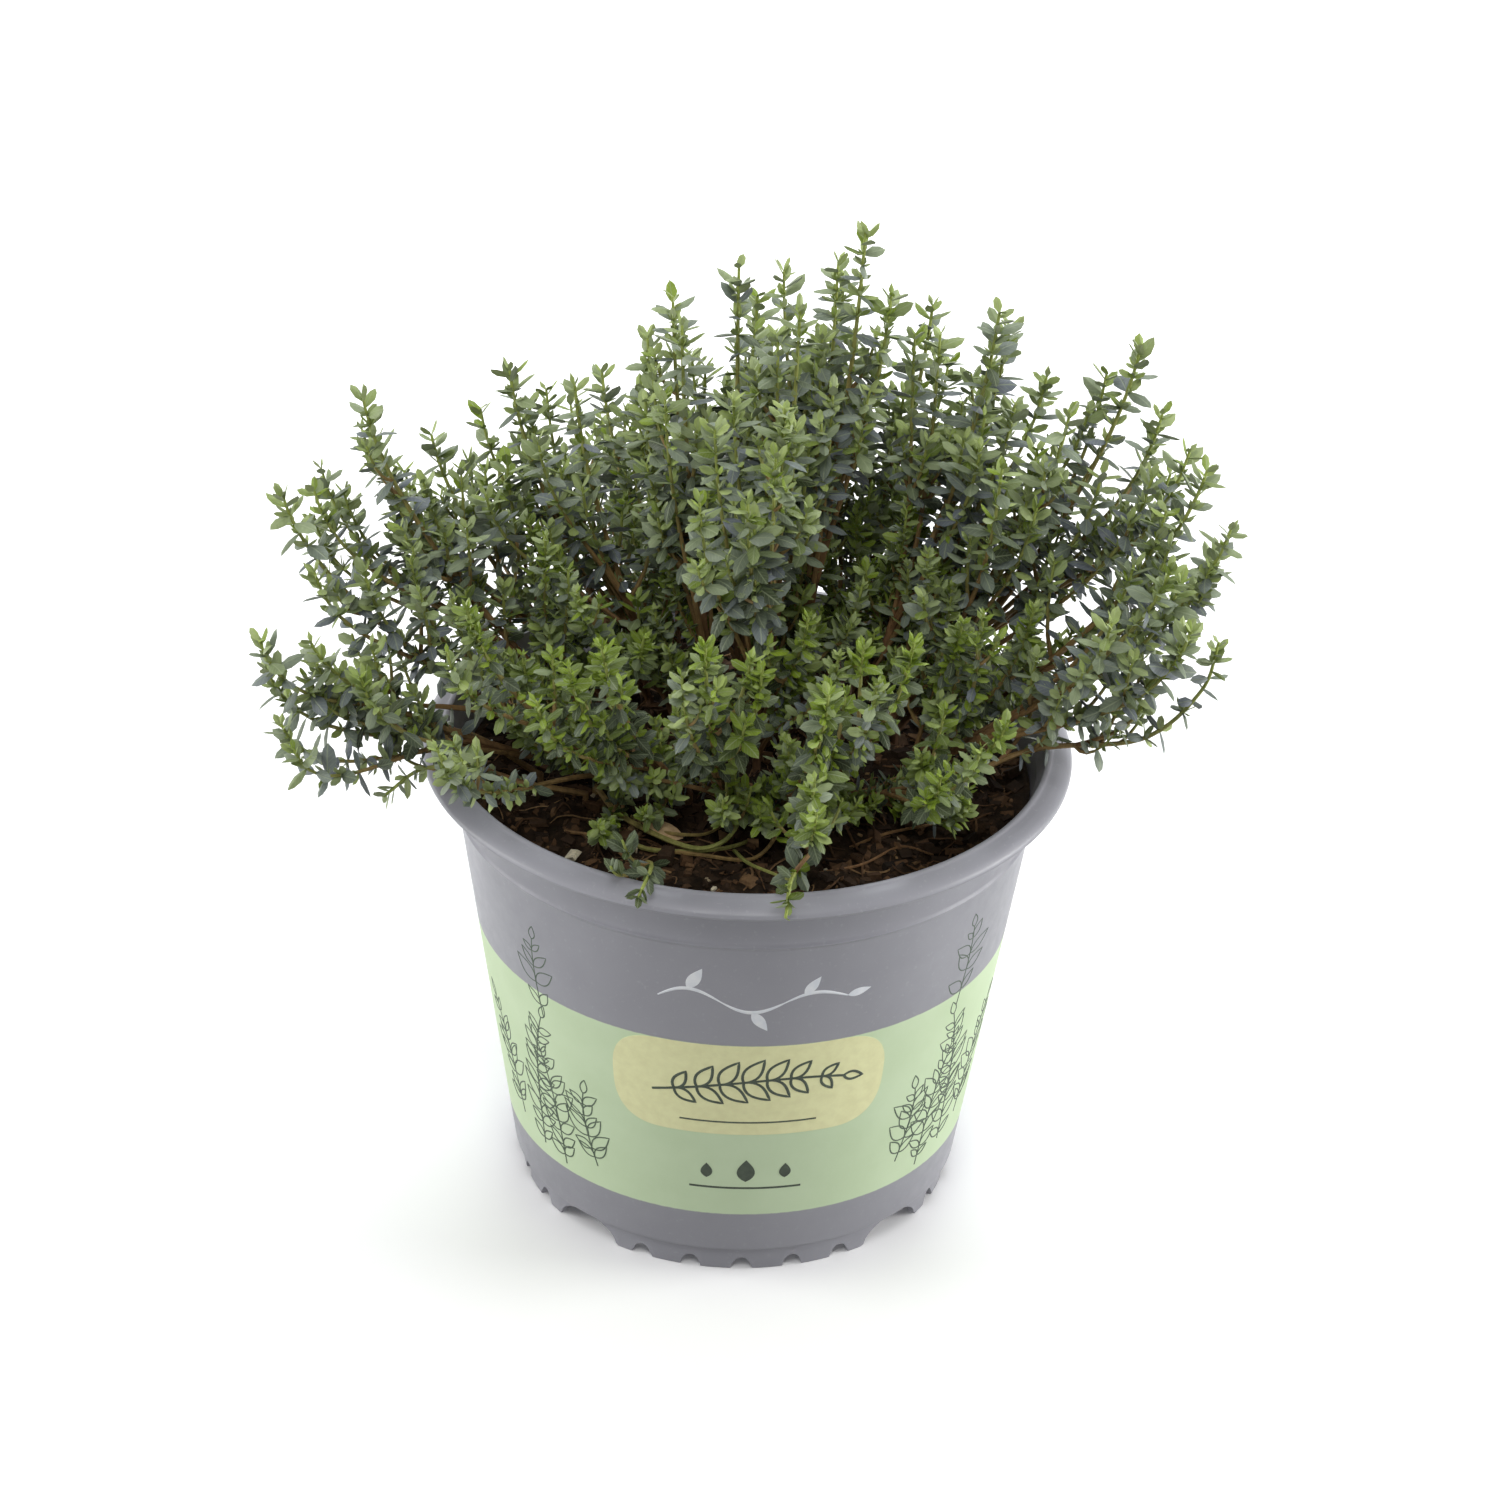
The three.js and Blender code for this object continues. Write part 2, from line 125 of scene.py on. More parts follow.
# Sizes of the soil and counts of the bits on it
SOIL_TOP = 96.5
SOIL_CROWN = 2.5
SOIL_GAP = 0.3
SOIL_SEGMENTS = 250
SOIL_RINGS = 84
BITS_INSET = 2.5
CHIP_COUNT = 2600
CHIP_LENGTHS = (0.8, 1.1, 1.6, 2.4, 3.6)
GRAIN_COUNT = 42
FIBRE_COUNT = 340
FIBRE_STEPS = 6

# The bush, as in the solids
BUSH_SHOOTS = 28
GOLDEN_ANGLE = 2.39996
BUSH_SIDE = 99
BUSH_FRONT = 66
BUSH_BACK = 84
DOME_TOP = 206
DOME_DROP = 52
HEIGHT_SCATTER = 14
TURN_SCATTER = 0.2
ROOT_SHRINK = 0.4
ROOT_CENTRE_Y = 5
ROOT_LEAN = 0.42
ROOT_RISE = 0.33
TIP_LEAN = 0.1
TIP_RISE = 0.34
STEM_IN_SOIL = 7
STEM_COLLAR = 2.5
SEED = 2025

# Tips that stand out in the photo
STANDING_TIPS = [
    (21, 15, 219), (-5, 30, 203), (-19, 42, 190), (-39, 24, 177), (-54, 46, 169), (-83, 10, 180),
    (-98, -10, 166), (53, 35, 189), (37, 54, 184), (65, 5, 184), (80, 22, 191), (94, 0, 174),
    (-91, -27, 141), (86, -22, 162), (-30, -50, 156), (-9, -61, 163), (16, -64, 154), (33, -52, 160),
    (53, -50, 141), (-58, -40, 158), (8, 6, 205), (-70, 32, 160),
]

# Low and trailing shoots: where each leaves the soil, and the places its stem passes
LOW_SHOOTS = {
    "left_rim": [(-34, -16), (-54, -22, 107), (-67, -27, 112), (-76, -31, 107)],
    "front": [(17, -30), (13, -48, 105), (10, -64, 110.5), (9, -75, 108)],
    "front_left": [(-20, -42), (-19, -53, 106), (-19, -64, 111), (-21, -72, 110)],
    "right": [(39, -12), (60, -10, 111), (84, -7, 113), (96, -5, 124), (99, -5, 136)],
    "soil": [(-32, -14), (-25, -27, 101), (-9, -38, 101), (-1, -36, 108), (-5, -31, 124)],
    "left": [(-44, -8), (-60, -12, 112), (-78, -16, 115), (-90, -19, 123)],
}

# How fresh shoots look, from 0 for grey-green to 1 and more for bright green young leaves and very dark old
# ones; the dark old leaves on the front and low shoots are painted shade
FRONT_FRESHNESS_AND_SHADE = (0.2, 0.8, 1.4)
FRESHNESS_AND_SHADE = {"front": 1.0, "soil": 0.9, "front_left": 1.1}

# Shoots whose leaves are older than others, and shoots that are bare for a larger share of their length
VIGOUR = {"front_left": 0.35}
LOW_BARE = {"soil": 0.7}

# Lesser stems of the low shoots: the share of the length where each leaves, and its tip
SIDE_TIPS = {
    "front": [(0.72, (20, -49, 121)), (0.35, (5, -44, 116))],
    "front_left": [(0.5, (-13, -66, 111)), (0.5, (-27, -64, 112)), (0.6, (-15, -71.5, 107))],
    "soil": [(0.3, (-27, -24, 113))],
    "left_rim": [(0.4, (-70, -22, 124)), (0.6, (-74, -20, 113))],
    "right": [(0.5, (84, -14, 128)), (0.3, (62, -4, 126))],
    "left": [(0.5, (-84, -10, 134)), (0.4, (-74, -22, 124))],
}

# Runners: radius, youth, and places on the soil, each with its height over it
RUNNERS = [
    (0.6, 0.76, [
        (-31, -15, 0.5), (-27, -26, 1.4), (-21, -33, 1.6), (-12, -36, 1.4), (-4, -34, 1.2), (2, -29, 0.2),
    ]),
    (0.5, 0.6, [
        (-21, -33, 1.6), (-10, -37, 1.2), (2, -36, 1.5), (7, -28, 2.2), (2, -22, 2), (-6, -20, 0.3),
    ]),
    (0.45, 0.66, [(-24, -21, 0.4), (-19, -29, 2.4), (-13, -32, 2.2), (-8, -30, 1.6), (-4, -24, 0.2)]),
    (0.4, 0.4, [(-38, -28, 0.3), (-31, -31, 1.4), (-24, -38, 1), (-15, -42, 0.3)]),
    (0.4, 0.35, [(22, -30, 0.2), (30, -24, 1.4), (39, -23, 1.2), (45, -16, 0.2)]),
    (0.35, 0.3, [(16, -40, 0.2), (25, -38, 1.2), (33, -31, 0.8), (40, -30, 0.1)]),
    (0.45, 0.8, [(-2, -33, 0.3), (1, -41, 2.5), (5, -52, 7.5), (10, -63.5, 13.4)]),
]
DEAD_LEAF_PLACE = (-21, -28)
DEAD_LEAF_LENGTH = 9
DEAD_LEAF_BROAD = 0.36
DEAD_LEAF_TURN = math.radians(-25)
DEAD_LEAF_LIFT = 1.9
PALE_FLAKE_PLACE = (-35.7, -37.4)
PALE_FLAKE_SIZE = (4.4, 2.4, 1.2)

# Leaves and stems. Few twigs grow within OPEN_TOP of a tip, and shoots with their root before FRONT_ROOTS
# are the front ones. BARE_SHARE of a bush stem has no leaves. Stems stay CLEARANCE inside the solids' box
LEAF_LENGTH = 6.8
LEAF_BROAD = 0.45
LEAF_SPACING = 3.9
TIP_SPACING = 1.2
TWIG_REACH = 24
OPEN_TOP = 34
FRONT_ROOTS = -10
BARE_SHARE = 0.42
SIDE_STEMS = 6
FRONT_SIDE_STEMS = 2
LOW_STEMS = 6
LEAST_YOUTH = 0.05
TIP_YOUTH = 0.95
CLEARANCE = 2.5
LARGE_FROM = 5.4
SMALL_FROM = 3.2

# Places along a leaf and its half width there, as shares of its length and greatest half width
LARGE_LEAF = [(0, 0.1), (0.18, 0.6), (0.46, 1), (0.78, 0.7)]
SMALL_LEAF = [(0, 0.15), (0.38, 0.97), (0.78, 0.82)]
TINY_LEAF = [(0, 0.2), (0.5, 1)]
DEAD_LEAF = [(0, 0.1), (0.12, 0.5), (0.3, 0.9), (0.5, 1), (0.7, 0.85), (0.88, 0.5)]

# Leaf colours as screen values: old, full grown and young, and the veins
UPPER_COLORS = [(98, 109, 97), (138, 150, 123), (160, 176, 106), (162, 173, 136)]
LOWER_COLORS = [(136, 140, 141), (150, 157, 145), (160, 172, 118), (170, 176, 158)]
# Bluish grey of old, dull leaves, which also stands in as painted sheen on the leaves
DULL_LEAF_AND_SHEEN = (108, 114, 127)
# Old leaves of fresh shoots, darkened to stand for painted shade on the front and low shoots
FRESH_OLD_LEAF_AND_SHADE = (42, 54, 21)
FRESH_YOUNG_LEAF = (126, 150, 24)
VEIN_PAIRS = 6
VEIN_SLANT = 1.6


def body_radius(z):
    return BASE_RADIUS + WALL_SLOPE * z


def inner_radius(z):
    return body_radius(z) - WALL


def show(name, data):
    """A new object in the scene."""
    piece = bpy.data.objects.new(name, data)
    bpy.context.scene.collection.objects.link(piece)
    return piece


class Shape:
    """Points in millimetres, faces with a finish each, and named values at the points."""

    def __init__(self, *names):
        self.points = []
        self.faces = []
        self.finishes = []
        self.values = {name: [] for name in names}
        self.count = 0

    def add(self, points, faces, finish=0, **values):
        points = np.asarray(points, float)
        self.points.append(points)
        self.faces += [tuple(int(i) + self.count for i in face) for face in faces]
        self.finishes += [finish] * len(faces) if isinstance(finish, int) else list(finish)
        for name, rows in self.values.items():
            rows.append(np.broadcast_to(np.asarray(values.get(name, 0), float), len(points)))
        self.count += len(points)

    def build(self, name, materials, slot, smooth=math.radians(50)):
        mesh = bpy.data.meshes.new(name)
        points = (np.concatenate(self.points) + AXIS) * MM
        mesh.from_pydata(points.tolist(), [], self.faces)
        for material in materials:
            mesh.materials.append(material)
        mesh.polygons.foreach_set("material_index", self.finishes)
        for key, rows in self.values.items():
            layer = mesh.attributes.new(key, "FLOAT", "POINT")
            layer.data.foreach_set("value", np.concatenate(rows).astype(np.float32))
        mesh.shade_smooth()
        mesh.set_sharp_from_angle(angle=smooth)
        piece = show(name, mesh)
        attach(piece, "root")
        return piece


# Curves

def unit(v):
    return v / max(np.linalg.norm(v), 1e-9)


def around(turn, r):
    return r * math.cos(turn), r * math.sin(turn)


def swing(turn, a, b):
    """What a becomes when it is turned towards b."""
    return math.cos(turn) * a + math.sin(turn) * b


def bezier(a, b, c, d, count):
    t = np.linspace(0, 1, count)[:, None]
    return a * (1 - t) ** 3 + 3 * b * t * (1 - t) ** 2 + 3 * c * t * t * (1 - t) + d * t ** 3


def catmull(points, steps):
    """A smooth curve through the points, each span in the same number of steps."""
    points = [np.array(p, float) for p in points]
    padded = [2 * points[0] - points[1], *points, 2 * points[-1] - points[-2]]
    rows = []
    for before, a, b, after in zip(padded, padded[1:], padded[2:], padded[3:]):
        for t in np.linspace(0, 1, steps, endpoint=False):
            rise, fall = (b - before) / 2, (after - a) / 2
            rows.append((2 * t**3 - 3 * t * t + 1) * a + (t**3 - 2 * t * t + t) * rise
                        + (3 * t * t - 2 * t**3) * b + (t**3 - t * t) * fall)
    return np.array([*rows, points[-1]])


class Stem:
    """A line with a direction and two sides carried along it without twist."""

    def __init__(self, points):
        self.points = np.asarray(points, float)
        steps = np.diff(self.points, axis=0)
        gaps = np.linalg.norm(steps, axis=1)
        self.along = np.concatenate([[0], np.cumsum(gaps)])
        self.length = self.along[-1]
        units = steps / np.maximum(gaps, 1e-9)[:, None]
        sums = np.vstack([units[:1], units[1:] + units[:-1], units[-1:]])
        self.tangents = np.array([unit(v) for v in sums])
        side = unit(np.cross(self.tangents[0], [1.0, 0.2, 0.1]))
        self.sides = []
        for tangent in self.tangents:
            side = unit(side - tangent * side.dot(tangent))
            self.sides.append(side)
        self.sides = np.array(self.sides)
        self.faces = np.cross(self.tangents, self.sides)

    def at(self, s):
        """Point, tangent and the two sides at a distance from the root."""
        return [np.array([np.interp(s, self.along, rows[:, k]) for k in range(3)])
                for rows in (self.points, self.tangents, self.sides, self.faces)]


def between(low, high, count):
    """Faces between two closed rings of points, given the first point of each."""
    ahead = [(i + 1) % count for i in range(count)]
    return [(low + i, low + j, high + j, high + i) for i, j in enumerate(ahead)]


def fan(ring, middle, count):
    """Faces that close a ring of points onto one point."""
    return [(ring + i, ring + (i + 1) % count, middle) for i in range(count)]


def tube(shape, stem, radii, sides, **values):
    """A closed round tube along a stem."""
    turns = np.arange(sides) * 2 * math.pi / sides
    rings = (stem.points[:, None, :]
             + radii[:, None, None] * (np.cos(turns)[None, :, None] * stem.sides[:, None, :]
                                       + np.sin(turns)[None, :, None] * stem.faces[:, None, :]))
    count = len(stem.points)
    points = np.vstack([rings.reshape(-1, 3), stem.points[-1] + stem.tangents[-1] * radii[-1]])
    faces = []
    for k in range(count - 1):
        faces += between(k * sides, (k + 1) * sides, sides)
    faces += fan((count - 1) * sides, count * sides, sides)
    faces.append(tuple(range(sides - 1, -1, -1)))
    spread = {}
    for name, rows in values.items():
        rows = np.broadcast_to(np.asarray(rows, float), count)
        spread[name] = np.append(np.repeat(rows, sides), rows[-1])
    shape.add(points, faces, **spread)


# Materials

def rgb(red, green, blue):
    """A colour given as screen values from 0 to 255."""
    def linear(v):
        v /= 255
        return v / 12.92 if v <= 0.04045 else ((v + 0.055) / 1.055) ** 2.4
    return (linear(red), linear(green), linear(blue), 1)


class Tree:
    """A node tree with short ways to add and join nodes."""

    def __init__(self, tree):
        self.tree = tree

    def join(self, value, target):
        """Links a socket to the target socket, or sets a plain value there."""
        if isinstance(value, bpy.types.NodeSocket):
            self.tree.links.new(value, target)
        else:
            target.default_value = value

    def node(self, kind, inputs=(), **settings):
        made = self.tree.nodes.new(kind)
        for key, value in settings.items():
            setattr(made, key, value)
        for key, value in dict(inputs).items():
            self.join(value, made.inputs[key])
        return made

    def math(self, operation, a, b=0.0):
        return self.node("ShaderNodeMath", {0: a, 1: b}, operation=operation).outputs[0]

    def times(self, a, b):
        return self.math("MULTIPLY", a, b)

    def range(self, value, low, high, to_low=0.0, to_high=1.0):
        settings = {"Value": value, "From Min": low, "From Max": high, "To Min": to_low, "To Max": to_high}
        return self.node("ShaderNodeMapRange", settings).outputs[0]


class Nodes(Tree):
    """A material's node tree with its shader."""

    def __init__(self, name, roughness, specular):
        self.material = bpy.data.materials.new(name)
        self.material.use_nodes = True
        super().__init__(self.material.node_tree)
        self.shader = self.tree.nodes["Principled BSDF"]
        self.shader.inputs["Roughness"].default_value = roughness
        self.shader.inputs["Specular IOR Level"].default_value = specular
        self.object = self.node("ShaderNodeTexCoord").outputs["Object"]

    def noise(self, scale, detail=4, roughness=0.55, stretch=None):
        vector = self.object
        if stretch:
            vector = self.node("ShaderNodeMapping", {"Vector": vector, "Scale": stretch}).outputs[0]
        settings = {"Vector": vector, "Scale": scale, "Detail": detail, "Roughness": roughness}
        return self.node("ShaderNodeTexNoise", settings).outputs["Fac"]

    def value(self, name):
        return self.node("ShaderNodeAttribute", attribute_name=name).outputs["Fac"]

    def ramp(self, value, *stops):
        made = self.node("ShaderNodeValToRGB", {"Fac": value})
        elements = made.color_ramp.elements
        while len(elements) < len(stops):
            elements.new(0.5)
        for element, (place, color) in zip(elements, stops):
            element.position = place
            element.color = rgb(*color)
        return made.outputs["Color"]

    def mix(self, factor, a, b, blend="MIX"):
        settings = {"Factor": factor, 6: a, 7: b}
        return self.node("ShaderNodeMix", settings, data_type="RGBA", blend_type=blend).outputs[2]

    def shade(self, color, factor):
        """The colour made lighter or darker by a factor."""
        grey = self.node("ShaderNodeCombineColor", {0: factor, 1: factor, 2: factor}).outputs[0]
        return self.mix(1.0, color, grey, "MULTIPLY")

    def link(self, key, socket):
        self.join(socket, self.shader.inputs[key])

    def color(self, socket):
        self.link("Base Color", socket)

    def bump(self, height, strength, distance):
        settings = {"Height": height, "Strength": strength, "Distance": distance * MM}
        self.link("Normal", self.node("ShaderNodeBump", settings).outputs[0])


def leaf_material(name, old, full, young, vein, roughness):
    """A leaf's face: dull bluish grey when old, partly painted sheen; yellow-green when young or fresh;
    very dark when old on fresh shoots, as painted shade; with a midrib and side veins.
    """
    n = Nodes(name, roughness, 0.3)
    age, tone = n.value("youth"), n.value("tone")
    base = n.ramp(n.math("ADD", age, n.times(tone, 0.1)), (0.0, old), (0.35, full), (0.9, young))
    aged = n.range(age, 0.6, 0.2)
    # Old leaves of low tone turn bluish grey: partly their own dull colour, partly painted sheen
    base = n.mix(n.times(n.range(tone, 0.4, -0.6, 0.0, 0.75), aged), base, rgb(*DULL_LEAF_AND_SHEEN))
    # Fresh shoots: bright young leaves, and very dark old ones that are painted shade
    fresh_and_shade = n.mix(n.range(age, 0.2, 0.8), rgb(*FRESH_OLD_LEAF_AND_SHADE), rgb(*FRESH_YOUNG_LEAF))
    base = n.mix(n.range(tone, 0.2, 1.2, 0.0, 0.9), base, fresh_and_shade)
    base = n.shade(base, n.range(n.noise(420), 0.3, 0.7, 0.84, 1.12))
    across = n.math("ABSOLUTE", n.value("across"))
    midrib = n.range(across, 0.0, 0.13, 1.0, 0.0)
    slanted = n.math("SUBTRACT", n.times(n.value("lengthwise"), VEIN_PAIRS), n.times(across, VEIN_SLANT))
    wave = n.math("SINE", n.times(slanted, 2 * math.pi))
    veins = n.range(wave, 0.86, 1.0, 0.0, 0.5)
    ribs = n.math("MAXIMUM", midrib, veins)
    n.color(n.mix(n.times(ribs, 0.5), base, rgb(*vein)))
    n.bump(n.math("SUBTRACT", n.times(n.noise(1500, 2), 0.4), ribs), 0.5, 0.12)
    return n.material


def stem_material():
    """Brown bark below, then tan, then yellow-green skin towards the tips."""
    n = Nodes("thyme_stem", 0.6, 0.3)
    skin = n.ramp(n.value("youth"), (0.0, (84, 62, 46)), (0.3, (126, 94, 62)), (0.62, (146, 122, 76)),
                  (0.78, (138, 140, 76)), (0.95, (144, 158, 78)))
    streaks = n.range(n.noise(900, 5, 0.6, (1, 1, 0.22)), 0.32, 0.68, 0.7, 1.2)
    n.color(n.shade(skin, streaks))
    n.bump(n.noise(1400, 5, 0.65, (1, 1, 0.25)), 0.5, 0.25)
    return n.material


def pot_material():
    """Satin grey plastic with the printed band round it."""
    n = Nodes("pot_plastic", 0.42, 0.6)
    height = n.node("ShaderNodeSeparateXYZ", {0: n.object}).outputs["Z"]
    cloud = n.range(n.noise(26, 3), 0.35, 0.65)
    plastic = n.mix(cloud, rgb(141, 141, 148), rgb(150, 150, 157))
    speck = n.range(n.noise(900, 2), 0.62, 0.72, 0.0, 0.35)
    plastic = n.mix(speck, plastic, rgb(162, 162, 168))
    ink = n.mix(n.range(n.noise(60, 4), 0.35, 0.65), rgb(206, 226, 186), rgb(213, 232, 194))
    ink = n.mix(n.range(n.noise(1600, 2), 0.55, 0.7, 0.0, 0.3), ink, rgb(212, 230, 196))
    ragged = n.range(n.noise(700, 3), 0.0, 1.0, -BAND_SOFTNESS * MM, BAND_SOFTNESS * MM)
    place = n.math("ADD", height, ragged)
    above = n.range(place, (BAND_LOW - BAND_SOFTNESS) * MM, (BAND_LOW + BAND_SOFTNESS) * MM)
    below = n.range(place, (BAND_HIGH - BAND_SOFTNESS) * MM, (BAND_HIGH + BAND_SOFTNESS) * MM, 1.0, 0.0)
    band = n.times(n.times(above, below), n.value("outside"))
    n.color(n.mix(band, plastic, ink))
    rough = n.range(n.noise(300, 4), 0.3, 0.7, 0.36, 0.48)
    n.link("Roughness", n.math("ADD", rough, n.times(band, 0.3)))
    grain = n.math("ADD", n.noise(2600, 2), n.times(n.noise(180, 3, 0.5, (1, 1, 6)), 0.6))
    n.bump(grain, 0.12, 0.08)
    return n.material


def ink_material(name, light, dark):
    """Flat ink with a faint cloud of a second tone."""
    n = Nodes(name, 0.5, 0.4)
    n.color(n.mix(n.range(n.noise(420, 4), 0.35, 0.65), rgb(*dark), rgb(*light)))
    n.bump(n.noise(2600, 2), 0.1, 0.06)
    return n.material


def soil_material():
    """Dark compost with lighter crumbs."""
    n = Nodes("potting_soil", 0.95, 0.2)
    base = n.ramp(n.noise(240, 8, 0.7), (0.3, (22, 16, 11)), (0.5, (48, 36, 24)), (0.62, (72, 54, 38)),
                  (0.72, (100, 78, 56)))
    n.color(base)
    n.bump(n.noise(700, 8, 0.75), 1.0, 0.9)
    return n.material


def crumb_material():
    """Bark, fibres and white grains, told apart by the tone of each bit."""
    n = Nodes("soil_bits", 0.85, 0.25)
    base = n.ramp(n.value("tone"), (0.0, (28, 21, 14)), (0.4, (62, 46, 32)), (0.62, (98, 72, 48)),
                  (0.8, (140, 112, 78)), (0.93, (176, 150, 108)), (1.0, (222, 212, 184)))
    n.color(n.shade(base, n.range(n.noise(1100, 4), 0.3, 0.7, 0.7, 1.2)))
    n.bump(n.noise(1600, 4), 0.6, 0.3)
    return n.material


def dead_leaf_material():
    """Dry and pale brown."""
    n = Nodes("dead_leaf", 0.8, 0.2)
    n.color(n.mix(n.range(n.noise(500, 5), 0.35, 0.65), rgb(190, 158, 118), rgb(224, 194, 150)))
    n.bump(n.noise(900, 4), 0.6, 0.3)
    return n.material


# Pot

def rounded(corners, radius, steps=3):
    """A closed outline in which each corner is cut back and rounded."""
    corners = [np.array(c, float) for c in corners]
    rows = []
    for before, corner, after in zip([corners[-1], *corners], corners, [*corners[1:], corners[0]]):
        start, end = before - corner, after - corner
        a = corner + unit(start) * min(radius, np.linalg.norm(start) * 0.45)
        b = corner + unit(end) * min(radius, np.linalg.norm(end) * 0.45)
        for t in np.linspace(0, 1, steps):
            rows.append(a * (1 - t) ** 2 + 2 * corner * t * (1 - t) + b * t * t)
    return np.array(rows)


def foot_cut(turn):
    """How high the foot ring is cut away at an angle from the front, in degrees."""
    outer = body_radius(0) - FOOT_INSET
    cut = 0.0
    for quarter in range(4):
        middle = FRONT_TURN + 90 * quarter
        places = [(middle + 45, ARCH_WIDTH, ARCH_HEIGHT)]
        places += [(middle + NOTCH_STEP * k, NOTCH_WIDTH, NOTCH_HEIGHT) for k in range(-2, 3)]
        for place, width, height in places:
            off = abs((turn - place + 180) % 360 - 180)
            reach = math.radians(off) * outer / (width / 2)
            if reach < 1:
                cut = max(cut, height * math.sqrt(1 - reach * reach))
    return cut


def pot_outline():
    """Half section of the wall, from the foot up the outside and down the inside."""
    foot = body_radius(0) - FOOT_INSET
    ridge = body_radius(RIDGE_Z)
    rim_low = POT_HEIGHT - RIM_DROP
    collar = body_radius(COLLAR_TOP)
    foot_ring = [(foot - FOOT_WIDTH, 0), (foot, 0), (foot + 0.2, FOOT_HEIGHT - 0.7)]
    outside = [
        (body_radius(FOOT_HEIGHT), FOOT_HEIGHT), (ridge, RIDGE_Z - 0.6), (ridge + 0.6, RIDGE_Z - 0.1),
        (ridge + 0.6, RIDGE_Z + 0.2), (ridge + 0.1, RIDGE_Z + 0.7), (collar - 0.2, COLLAR_TOP - 0.8),
    ]
    lip = [
        (RIM_RADIUS - 1.1, rim_low - 0.7), (RIM_RADIUS, rim_low + 0.1), (RIM_RADIUS - 0.1, rim_low + 1.0),
        (RIM_RADIUS - 1.3, rim_low + 2.0), (RIM_RADIUS - 2.6, POT_HEIGHT - 0.75),
        (RIM_INNER_RADIUS + 1.5, POT_HEIGHT - 0.35), (RIM_INNER_RADIUS + 1.1, POT_HEIGHT),
        (RIM_INNER_RADIUS + 0.2, POT_HEIGHT), (RIM_INNER_RADIUS, POT_HEIGHT - 0.6),
    ]
    inside = [
        (inner_radius(COLLAR_TOP), COLLAR_TOP), (inner_radius(FLOOR_TOP), FLOOR_TOP - 1),
        (foot - FOOT_WIDTH, FLOOR_TOP - WALL),
    ]
    return foot_ring + outside + lip + inside


def lathe(shape, outline, cut, **values):
    """Turns a closed outline about the pot's axis. Its foot follows the cut, a height for each turn."""
    segments = len(cut)
    turns = np.arange(segments) * 2 * math.pi / segments
    points = np.empty((segments, len(outline), 3))
    for k, (r, z) in enumerate(outline):
        points[:, k, 0] = r * np.sin(turns)
        points[:, k, 1] = -r * np.cos(turns)
        points[:, k, 2] = np.maximum(cut, z) if z < FOOT_EDGE else z
    rows = len(outline)
    faces = []
    for i in range(segments):
        here, there = i * rows, (i + 1) % segments * rows
        faces += [(here + k, there + k, there + (k + 1) % rows, here + (k + 1) % rows) for k in range(rows)]
    spread = {name: np.tile(row, segments) for name, row in values.items()}
    shape.add(points.reshape(-1, 3), faces, **spread)


def plate_with_holes(shape, radius, z_low, z_high):
    """The pot's floor with its drain holes."""
    sheet = bpy.data.curves.new("floor", "CURVE")
    sheet.dimensions = "2D"
    sheet.fill_mode = "BOTH"
    sheet.extrude = (z_high - z_low) / 2
    circles = [(0, 0, radius, 160)]
    for k in range(DRAIN_COUNT):
        turn = 2 * math.pi * k / DRAIN_COUNT
        circles.append((*around(turn, DRAIN_CIRCLE), DRAIN_RADIUS, 40))
    for x, y, r, count in circles:
        spline = sheet.splines.new("POLY")
        spline.points.add(count - 1)
        for i, point in enumerate(spline.points):
            turn = 2 * math.pi * i / count
            point.co = (x + r * math.cos(turn), y + r * math.sin(turn), 0, 1)
        spline.use_cyclic_u = True
    holder = bpy.data.objects.new("floor", sheet)
    mesh = bpy.data.meshes.new_from_object(holder)
    points = np.array([v.co for v in mesh.vertices]) + [0, 0, (z_low + z_high) / 2]
    shape.add(points, [tuple(p.vertices) for p in mesh.polygons])
    bpy.data.objects.remove(holder)
    bpy.data.curves.remove(sheet)
    bpy.data.meshes.remove(mesh)


def make_pot():
    """The wall with its lip and foot, and the floor."""
    shape = Shape("outside")
    outline = rounded(pot_outline(), EDGE_ROUNDING)
    cut = np.array([foot_cut(360 * i / POT_SEGMENTS) for i in range(POT_SEGMENTS)])
    outside = np.array([1.0 if r > body_radius(z) - WALL / 2 else 0.0 for r, z in outline])
    lathe(shape, outline, cut, outside=outside)
    plate_with_holes(shape, body_radius(0) - FOOT_INSET - FOOT_WIDTH / 2, FLOOR_TOP - WALL, FLOOR_TOP)
    pot = shape.build("nursery_pot", [pot_material()], "pot_plastic", math.radians(35))
    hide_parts("pot")


# Print on the pot

def on_wall(x, z, out):
    """A place on the outside of the wall: x millimetres along it from the front, at a height."""
    turn = math.radians(FRONT_TURN) + x / body_radius(PANEL_Z)
    r = body_radius(z) + out
    return np.array([r * math.sin(turn), -r * math.cos(turn), z])


def stroke(shape, line, widths, base=0.0):
    """A stroke of ink on the wall or on other ink: thin at its edges, raised a little along its middle."""
    line = np.asarray(line, float)
    steps = np.gradient(line, axis=0)
    normals = np.stack([-steps[:, 1], steps[:, 0]], 1)
    normals /= np.maximum(np.linalg.norm(normals, axis=1), 1e-9)[:, None]
    widths = np.broadcast_to(widths, len(line))
    points = []
    for (x, z), (nx, nz), width in zip(line, normals, widths):
        for side, out in ((-1, INK_EDGE), (-0.5, INK), (0.5, INK), (1, INK_EDGE)):
            points.append(on_wall(x + nx * side * width / 2, z + nz * side * width / 2, base + out))
    corners = [4 * k + i for k in range(len(line) - 1) for i in range(3)]
    shape.add(points, [(k, k + 1, k + 5, k + 4) for k in corners])


